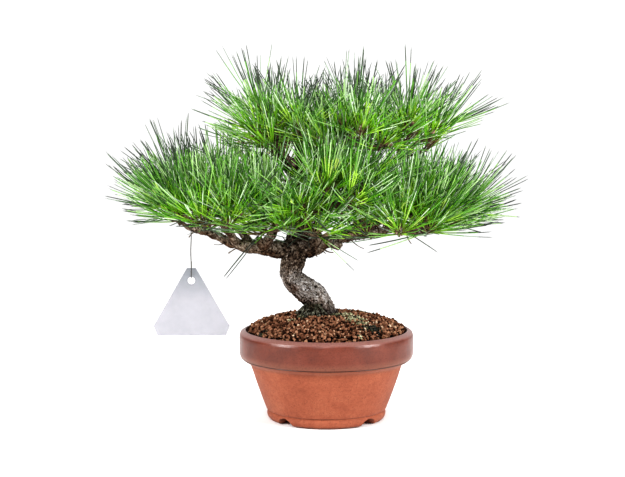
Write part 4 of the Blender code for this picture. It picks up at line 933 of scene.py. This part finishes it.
# Dead twigs: short bare spurs left on the boughs where old shoots died back.
DEAD_TWIGS = 150
DEAD_LENGTH = (0.005, 0.017)
DEAD_RADIUS = (0.0004, 0.0010)
chance = np.random.default_rng(97)
limb_lines = [even_path(stations, 0.002)[0] for stations in BOUGHS.values()]
stations = np.concatenate([line[2:-2] for line in limb_lines])
ways = np.concatenate([unit(np.gradient(line[:, :3], axis=0))[2:-2] for line in limb_lines])
row = chance.integers(0, len(stations), DEAD_TWIGS)
start, way = stations[row, :3], ways[row]
out = unit(np.cross(way, chance.normal(size=way.shape)))
aim = unit(out + chance.uniform(0.2, 1.2, (DEAD_TWIGS, 1)) * way + (0.0, 0.0, 0.25))
length = chance.uniform(*DEAD_LENGTH, (DEAD_TWIGS, 1)) + stations[row, 3:]
end = start + aim * length
bend = start + 0.55 * length * unit(aim + chance.normal(0.0, 0.35, aim.shape))
radii = np.outer(chance.uniform(*DEAD_RADIUS, DEAD_TWIGS), [1.5, 1.0, 0.8, 0.6])
points, faces = bent_tubes(start, bend, end, radii, 6, 8, 41, 0.35)
dead_twigs = mesh_object("dead_twigs", points, faces, [twig_bark])
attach(dead_twigs, "plant")


# The needles: stiff, half round, about 80 mm long, in pairs from one papery brown sheath, set round the
# last centimetre of each shoot and spread like a shaving brush that opens upward.
NEEDLE_LENGTH = 0.080
LENGTH_RANGE = (0.72, 1.14)
NEEDLE_HALF_WIDTH = 0.00068
PAIRS = 18
UPPER_PAIRS = 12
UPPER_HEIGHT = 0.300
LEAN_FORWARD = 1.00
STRAY_LEAN = 0.30
STRAY_SHARE = 0.12
TURN_UP = 0.16
WIDEST = math.radians(112)
NARROWEST = math.radians(8)
SHEATH_LENGTH = 0.0065
SHEATH_RADIUS = 0.00085
NEEDLE_STEPS = np.array([0.0, 0.26, 0.52, 0.76, 0.94, 1.0])
NEEDLE_WIDTHS = np.array([0.80, 1.00, 1.00, 0.94, 0.70])
NEEDLE_RINGS = len(NEEDLE_WIDTHS)
BAND_FACES = 6
ROWS = ((1.0, 1.0, 1.0, 0.54), (0.34, 0.86, 0.10, 1.0), (0.80, 0.94, 0.55, 1.0))
FRONT_ROW = 1
FRONT_TURN = np.array((0.0, -0.7, 0.0))
BACK_KEPT = 0.75
SPRAY_COLOURS = ["#6CAC28", "#8CBE3C", "#A6CC55", "#BCD472", "#3A6812", "#7CB43E"]
SPRAY_SHARES = [0.22, 0.22, 0.17, 0.08, 0.18, 0.13]
STRAY_HUE_SHARE = 0.40
FRESH_COLOURS = ["#82B62A", "#96C43C"]
# Painted highlight: the palest upper colour, a whitish grey-green dealt to a few needles, stands in for white glints of
# light on them.
UPPER_COLOURS = ["#5C8F37", "#80A85D", "#A2BE88", "#366022", "#B4C8A8"]
UPPER_SHARES = [0.28, 0.28, 0.18, 0.18, 0.08]
LATE_COLOURS = ["#40503C", "#5C6C57", "#869482", "#2A3724"]
LATE_SHARES = [0.32, 0.32, 0.18, 0.18]
TIP_COLOURS = ["#363C34", "#4E564A", "#6C7468"]
TIP_SHARES = [0.45, 0.35, 0.20]
LATE_GREEN_SHARE = 0.42
INSIDE_SHARE = 0.80
PLUCK_X = np.array((-0.240, -0.212, -0.202, -0.184, -0.129, -0.115, -0.088, -0.058, -0.033, -0.014, 0.000,
                    0.015, 0.037, 0.068, 0.100, 0.128, 0.158, 0.188, 0.204, 0.221))
PLUCK_HEIGHT = np.array((0.250, 0.247, 0.226, 0.222, 0.222, 0.216, 0.214, 0.215, 0.223, 0.211, 0.211,
                         0.223, 0.209, 0.217, 0.213, 0.213, 0.216, 0.221, 0.222, 0.222))
NOTCH_X = np.array((-0.026, -0.019, -0.007, 0.001, 0.006))
NOTCH_HEIGHT = np.array((0.500, 0.396, 0.383, 0.396, 0.500))
MISSED_SHARE = 0.06
GAP_MIDDLE = np.array((-0.0224, 0.2870))
GAP_RADIUS = 0.011
GAP_SHARE = 0.8
PLUCK_FADE = 0.0035
SEEN_FALL = 0.105
LOW_SKY_X = np.array((-0.2383, -0.2097, -0.1869, -0.1229, -0.1114, 0.1514, 0.1629, 0.1800, 0.1972, 0.2143, 0.2315))
LOW_SKY = np.array((0.2692, 0.3140, 0.3255, 0.3370, 0.4500, 0.4500, 0.3301, 0.3209, 0.3037, 0.2864, 0.2577))
HIGH_SKY_X = np.array((-0.1343, -0.1240, -0.1126, -0.1012, -0.0840, -0.0326, -0.0074, 0.0086, 0.1457, 0.1629,
                       0.1857, 0.2086, 0.2200))
HIGH_SKY = np.array((0.3531, 0.3703, 0.3899, 0.4014, 0.4106, 0.4129, 0.3853, 0.4037, 0.4014, 0.3841, 0.3692,
                     0.3577, 0.3531))
OUTLINE_DEPTH = 0.020
UNDER_DEPTH = 0.006


def apart(starts, ends, firsts, lasts, radius, limit):
    """True for each straight piece that stays clear of every limb piece by its radius, by sampling it."""
    t = np.linspace(0.12, 1.0, 9)[None, :, None]
    samples = starts[:, None] + (ends - starts)[:, None] * t
    ways = lasts[:, :3] - firsts[:, :3]
    offset = samples[:, :, None] - firsts[:, :3]
    share = np.clip((offset * ways).sum(-1) / (ways * ways).sum(-1), 0.0, 1.0)
    gap = np.linalg.norm(offset - ways * share[..., None], axis=-1)
    wall = firsts[:, 3] + (lasts[:, 3] - firsts[:, 3]) * share
    return (gap > wall + radius + limit).all(axis=(1, 2))


def needle_rows(shoots, lowest, chance, row_share, row_lean):
    """Feet, ways, lengths and shoot numbers of needle pairs: round each shoot the foot climbs and the needles close."""
    feet, ways, lengths, sprays = [], [], [], []
    for spray, (place, aim, share, vigour) in enumerate(shoots):
        count = int((UPPER_PAIRS if place[2] > UPPER_HEIGHT else PAIRS) * share * row_share)
        rise = (np.arange(count) + 0.5) / count
        turn = np.arange(count) * GOLDEN_TURN + chance.uniform(0.0, 2.0 * math.pi)
        side = unit(np.cross(aim, (0.31, 0.83, 0.46)))
        across = np.cross(aim, side)
        fall = WIDEST + (NARROWEST - WIDEST) * rise ** 0.8 + chance.normal(0.0, 0.20, count)
        round_it = np.cos(turn)[:, None] * side + np.sin(turn)[:, None] * across
        outward = np.cos(fall)[:, None] * aim + np.sin(fall)[:, None] * round_it
        forward = row_lean * np.where(chance.random(count) < STRAY_SHARE, STRAY_LEAN, LEAN_FORWARD)
        way = unit(outward + forward[:, None] * aim + (0.0, 0.0, TURN_UP))
        foot = place + aim * SHOOT_LENGTH * (rise - 0.5)[:, None] + round_it * SHOOT_RADIUS
        feet.append(foot)
        ways.append(way)
        lengths.append(NEEDLE_LENGTH * vigour * chance.uniform(*LENGTH_RANGE, count) * (1.0 - 0.06 * rise))
        sprays.append(np.full(count, spray))
    feet, ways = np.concatenate(feet), np.concatenate(ways)
    lengths, sprays = np.concatenate(lengths), np.concatenate(sprays)
    kept = ways[:, 2] > lowest - chance.exponential(0.04, len(ways))
    return feet[kept], ways[kept], lengths[kept], sprays[kept]


def needle_mesh(feet, ways, lengths, bows, rolls):
    """Half round needles: three points a ring on a parabola that bows by the given vector, and a tip."""
    count = len(feet)
    t = NEEDLE_STEPS[None, :, None]
    path = feet[:, None] + ways[:, None] * lengths[:, None, None] * t + bows[:, None] * t ** 2
    side = unit(np.cross(ways, (0.31, 0.83, 0.46)))
    up = np.cross(side, ways)
    flat = side * np.cos(rolls)[:, None] + up * np.sin(rolls)[:, None]
    thick = np.cross(flat, ways)
    width = NEEDLE_HALF_WIDTH * NEEDLE_WIDTHS[None, :, None]
    body = path[:, :NEEDLE_RINGS]
    left = body - flat[:, None] * width - thick[:, None] * 0.30 * width
    right = body + flat[:, None] * width - thick[:, None] * 0.30 * width
    crown = body + thick[:, None] * 0.75 * width
    rings = np.stack([left, right, crown], 2).reshape(count, 3 * NEEDLE_RINGS, 3)
    points = np.concatenate([rings, path[:, NEEDLE_RINGS:]], 1)
    faces = []
    for row in range(0, 3 * NEEDLE_RINGS - 3, 3):
        for a, b in ((0, 1), (1, 2), (2, 0)):
            faces += [(row + a, row + b, row + b + 3), (row + a, row + b + 3, row + a + 3)]
    last, tip = 3 * NEEDLE_RINGS - 3, 3 * NEEDLE_RINGS
    faces += [(last, last + 1, tip), (last + 1, last + 2, tip), (last + 2, last, tip), (0, 2, 1)]
    faces = np.array(faces)
    joined = (faces[None] + (tip + 1) * np.arange(count)[:, None, None]).reshape(-1, 3)
    return points.reshape(-1, 3), joined, len(faces)


# Pine needles have a waxy skin: a narrow bright gleam along each, over a plain leaf green for each spray
needle_greens = []
for code in SPRAY_COLOURS + FRESH_COLOURS + UPPER_COLOURS + LATE_COLOURS + TIP_COLOURS:
    green, shader = surface("waxy_needle_" + code[1:].lower(), code, 0.45, specular_ior_level=0.23,
                            coat_weight=0.13, coat_roughness=0.22)
    needle_greens.append(green)
sheath_skin, shader = surface("papery_sheath", "#7A6A48", 0.8)

limb_first, limb_last = [], []
for stations in [TRUNK] + list(BOUGHS.values()):
    path = smooth_path(stations, 3)
    limb_first.append(path[:-1])
    limb_last.append(path[1:])
limb_first, limb_last = np.concatenate(limb_first), np.concatenate(limb_last)
box_low = np.array(cad_box[0]) - 0.010
box_high = np.array(cad_box[1]) + 0.010

fresh_start = len(SPRAY_COLOURS)
upper_start = fresh_start + len(FRESH_COLOURS)
late_start = upper_start + len(UPPER_COLOURS)
tip_start = late_start + len(LATE_COLOURS)
sheath_kind = tip_start + len(TIP_COLOURS)
for name, (shoots, leaders) in grown.items():
    lowest, seed = MASSES[name][-2:]
    needle_sets, sheath_sets, spray_sets = [], [], []
    thinning = np.random.default_rng(seed + 3900)
    for row, (row_share, row_length, row_lean, row_kept) in enumerate(ROWS):
        chance = np.random.default_rng(seed + 900 + 1000 * row)
        carriers = leaders if row == LEADER_ROW else shoots
        if row == FRONT_ROW:
            carriers = [(place, unit(aim + FRONT_TURN), share, vigour) for place, aim, share, vigour in shoots]
        if "_back" in name:
            row_kept *= BACK_KEPT
        if not carriers:
            continue
        feet, ways, lengths, sprays = needle_rows(carriers, lowest, chance, row_share, row_lean)
        lengths = lengths * row_length
        bows = np.stack([chance.normal(0.0, 0.0022, len(feet)), chance.normal(0.0, 0.0022, len(feet)),
                         chance.normal(0.0030, 0.0018, len(feet))], 1)
        fan = unit(np.cross(ways, chance.normal(size=ways.shape)))
        spread = chance.uniform(0.035, 0.085, len(feet))[:, None]
        hues = chance.choice(len(SPRAY_COLOURS), len(carriers), p=SPRAY_SHARES)
        sheathed = np.zeros(len(feet), bool)
        tips = feet + ways * lengths[:, None] + bows
        seen = tips[:, 2] + SEEN_FALL * tips[:, 1]
        past = np.maximum(np.interp(tips[:, 0], PLUCK_X, PLUCK_HEIGHT) - seen,
                          seen - np.interp(tips[:, 0], NOTCH_X, NOTCH_HEIGHT))
        missed = MISSED_SHARE + (row_kept - MISSED_SHARE) * np.exp(-np.maximum(past, 0.0) / PLUCK_FADE)
        left_out = thinning.random(len(feet)) > missed
        sky = (HIGH_SKY_X, HIGH_SKY) if "upper" in name or "top" in name else (LOW_SKY_X, LOW_SKY)
        # Needles whose tips come near the crown's seen outline, at its top or its lower edge, turn greyer and darker
        # toward the tip.
        near_outline = seen > np.interp(tips[:, 0], *sky) - OUTLINE_DEPTH
        near_outline |= seen < np.interp(tips[:, 0], PLUCK_X, PLUCK_HEIGHT) + UNDER_DEPTH
        crossing = feet + ways * lengths[:, None] * np.linspace(0.3, 1.0, 6)[:, None, None]
        off = np.stack([crossing[..., 0], crossing[..., 2] + SEEN_FALL * crossing[..., 1]], -1) - GAP_MIDDLE
        shut = (np.linalg.norm(off, axis=-1) < GAP_RADIUS).any(axis=0)
        left_out |= shut & (thinning.random(len(feet)) < GAP_SHARE)
        for sign in (-1.0, 1.0):
            way = unit(ways + sign * spread * fan)
            foot = feet + ways * 0.6 * SHEATH_LENGTH
            length = lengths * chance.uniform(0.95, 1.03, len(feet))
            tips = foot + way * length[:, None] + bows
            clear = apart(foot, tips, limb_first, limb_last, NEEDLE_HALF_WIDTH, 0.0006)
            clear &= ((tips > box_low) & (tips < box_high)).all(axis=1) & ~left_out
            rolls = chance.uniform(0.0, 2.0 * math.pi, len(feet))
            needle_sets.append((foot[clear], way[clear], length[clear], bows[clear], rolls[clear]))
            spray_sets.append((sprays[clear], hues[sprays[clear]], near_outline[clear]))
            sheathed |= clear
        sheath_sets.append((feet[sheathed], ways[sheathed]))
    points, faces, each = needle_mesh(*(np.concatenate([part[k] for part in needle_sets]) for k in range(5)))
    spray, hue, near_outline = (np.concatenate([part[k] for part in spray_sets]) for k in range(3))
    low, way = (np.concatenate([part[k] for part in sheath_sets]) for k in range(2))
    line = np.repeat([[0.7, 1.0, 0.85]], len(low), axis=0) * SHEATH_RADIUS
    sheaths, sheath_faces = bent_tubes(low - way * 0.001, low + way * 0.5 * SHEATH_LENGTH,
                                       low + way * SHEATH_LENGTH, line, 3, 3, seed)
    sheath_faces = np.concatenate([sheath_faces[:, [0, 1, 2]], sheath_faces[:, [0, 2, 3]]])
    every = np.concatenate([points, sheaths])
    joined = np.concatenate([faces, sheath_faces + len(points)])
    count = len(hue)
    odd = chance.choice(len(SPRAY_COLOURS), count, p=SPRAY_SHARES)
    hue = np.where(chance.random(count) < STRAY_HUE_SHARE, odd, hue)
    fresh = fresh_start + chance.integers(0, len(FRESH_COLOURS), len(shoots) + len(leaders))[spray]
    upper = upper_start + chance.choice(len(UPPER_COLOURS), count, p=UPPER_SHARES)
    tip = tip_start + chance.choice(len(TIP_COLOURS), count, p=TIP_SHARES)
    late = late_start + chance.choice(len(LATE_COLOURS), count, p=LATE_SHARES)
    tip = np.where(near_outline, tip, late)
    grey = np.where(chance.random(count) < np.where(near_outline, LATE_GREEN_SHARE, INSIDE_SHARE), upper, late)
    pale = np.where(tip > tip_start, late, tip)
    hue, upper = np.where(near_outline, upper, hue), np.where(near_outline, grey, upper)
    late = np.where(near_outline, pale, grey)
    kinds = np.repeat(np.stack([fresh, hue, upper, late], 1), BAND_FACES, axis=1)
    kinds = np.concatenate([kinds, np.repeat(tip[:, None], each - 1 - kinds.shape[1], axis=1), fresh[:, None]], 1)
    kinds = np.concatenate([kinds.ravel(), np.full(len(sheath_faces), sheath_kind)])
    foliage = mesh_object(name.replace("needles", "foliage"), every, joined, needle_greens + [sheath_skin], kinds)
    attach(foliage, "plant")
    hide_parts(name)


# Stray needles: a few long ones hang below the crown, each from a twig above the boughs.
STRAYS = [
    ((-0.0540, -0.022, 0.2215), (-0.1046, -0.026, 0.1656)), ((-0.0545, -0.022, 0.2215), (-0.0954, -0.024, 0.1632)),
    ((-0.0055, -0.030, 0.2298), (-0.0065, -0.032, 0.1990)), ((-0.0060, -0.028, 0.2230), (-0.0257, -0.030, 0.2009)),
    ((0.0270, -0.035, 0.2178), (0.0177, -0.036, 0.1976)), ((0.0270, -0.035, 0.2178), (0.0137, -0.037, 0.2071)),
    ((0.0325, -0.035, 0.2225), (0.0303, -0.036, 0.2110)), ((0.0943, -0.060, 0.2272), (0.1423, -0.062, 0.1985)),
]
STRAY_BOW = 0.0035
ends = np.array(STRAYS)
ways = ends[:, 1] - ends[:, 0]
lengths = np.linalg.norm(ways, axis=1)
bows = np.zeros((len(ends), 3))
bows[:, 0] = STRAY_BOW * (-1.0) ** np.arange(len(ends))
points, faces, each = needle_mesh(ends[:, 0], unit(ways), lengths, bows, np.linspace(0.0, 6.0, len(ends)))
kinds = np.repeat([[late_start + 3, tip_start, late_start + 3, tip_start, tip_start]], len(ends), axis=0)
kinds = np.concatenate([np.repeat(kinds[:, :-1], BAND_FACES, axis=1), np.repeat(kinds[:, -1:], 4, axis=1)], 1)
strays = mesh_object("stray_needles", points, faces, needle_greens, kinds.ravel())
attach(strays, "plant")


# The tag: a bare plate of clear plastic, frosted by handling, punched near its top. Thin dark wire is
# wound round the left bough and hooks through the hole; the plate swings on the hook.
frosted, shader = surface("frosted_clear_plastic", "#9A9CA8", 0.32, alpha=0.80)
shader.inputs["IOR"].default_value = 1.49
shader.inputs["Specular IOR Level"].default_value = 0.5
shader.inputs["Coat Weight"].default_value = 0.25
tree = frosted.node_tree
places = add_node(tree, "ShaderNodeTexCoord").outputs["Object"]
haze, fine = mottle(tree, places, 0.012, [(0.30, "#F4F4F4"), (0.70, "#FFFFFF")], 3.0)
height = add_node(tree, "ShaderNodeSeparateXYZ", [("Vector", places)])
# The plate is coloured darker and greyer towards its top and paler lower down.
lip_highlight_and_tag_fade = add_node(tree, "ShaderNodeMapRange", [("Value", height.outputs["Z"])], From_Min=0.1680, From_Max=0.1400)
frost = blend(tree, "MIX", lip_highlight_and_tag_fade.outputs["Result"], linear("#7B7E84"), linear("#9A999F"))
tree.links.new(blend(tree, "MULTIPLY", 1.0, frost, haze), shader.inputs["Base Color"])
relief(tree, shader, fine, 0.05, 0.0002)
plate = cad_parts["tag_plate"]
for place in range(max(1, len(plate.data.materials))):
    if len(plate.data.materials):
        plate.data.materials[place] = frosted
    else:
        plate.data.materials.append(frosted)

# Annealed florist's wire, dull black brown with a faint metal gleam
wire_metal, shader = surface("dull_dark_wire", "#3A3835", 0.45, metallic=0.8)
tree = wire_metal.node_tree
places = add_node(tree, "ShaderNodeTexCoord").outputs["Object"]
tarnish, _ = mottle(tree, places, 0.003, [(0.35, "#2B2926"), (0.65, "#57524B")], 3.0)
tree.links.new(tarnish, shader.inputs["Base Color"])
TAG_PIVOT = np.array((-0.1383, -0.007, 0.1638))
WIRE_RADIUS = 0.0005
HOOK_RADIUS = 0.0022
HOOK_LEG = 0.016
WIRE_PITCH = 0.0032
WIRE_TURNS = (0.6, 2.5)
WIRE_RING_MIDDLE = 0.8
WIRE_ON_BOUGH_X = -0.1347
bough_line = smooth_path(BOUGHS["bough_left"], 8)
nearest = int(np.argmin(np.abs(bough_line[:, 0] - WIRE_ON_BOUGH_X)))
middle, bough_radius = bough_line[nearest, :3], bough_line[nearest, 3]
along = unit(bough_line[nearest + 1, :3] - bough_line[nearest - 1, :3])
up = unit(np.array((0.0, 0.0, 1.0)) - along * along[2])
across = np.cross(along, up)
ring_radius = bough_radius + 2.2 * WIRE_RADIUS
turn = (np.linspace(*WIRE_TURNS, 48) * math.pi)[:, None]
coil = middle + along * WIRE_PITCH * (turn / (2.0 * math.pi) - WIRE_RING_MIDDLE)
coil = coil + ring_radius * (up * np.cos(turn) - across * np.sin(turn))
turn = np.linspace(0.0, math.pi, 17)[:, None]
hook = TAG_PIVOT + np.array((0.0, -HOOK_RADIUS, 0.0)) * np.cos(turn)
hook = hook + np.array((0.0, 0.0, HOOK_RADIUS)) * (1.0 - np.sin(turn))
top, foot = coil[-1], hook[0]
t = np.linspace(0.0, 1.0, 14)[1:-1, None]
drop = top + (foot - top) * t + np.array((0.0005, 0.0, 0.0)) * np.sin(t * 9.0) * (1.0 - t)
leg = hook[-1] + np.array((0.0, 0.0, HOOK_LEG)) * np.linspace(0.1, 1.0, 6)[:, None]
wire_line = np.concatenate([coil, drop, hook, leg])
way = unit(np.gradient(wire_line, axis=0))
side = unit(np.cross(way, np.array((0.97, 0.22, 0.05))))
round_it = np.cross(way, side)
angle = np.arange(10) * 2.0 * math.pi / 10
wire_skin = wire_line[:, None] + WIRE_RADIUS * (np.cos(angle)[:, None] * side[:, None]
                                                + np.sin(angle)[:, None] * round_it[:, None])
wire = mesh_object("hanging_wire", wire_skin, ring_faces(len(wire_line), 10), [wire_metal])
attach(wire, "plant")
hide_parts("tag_wire")
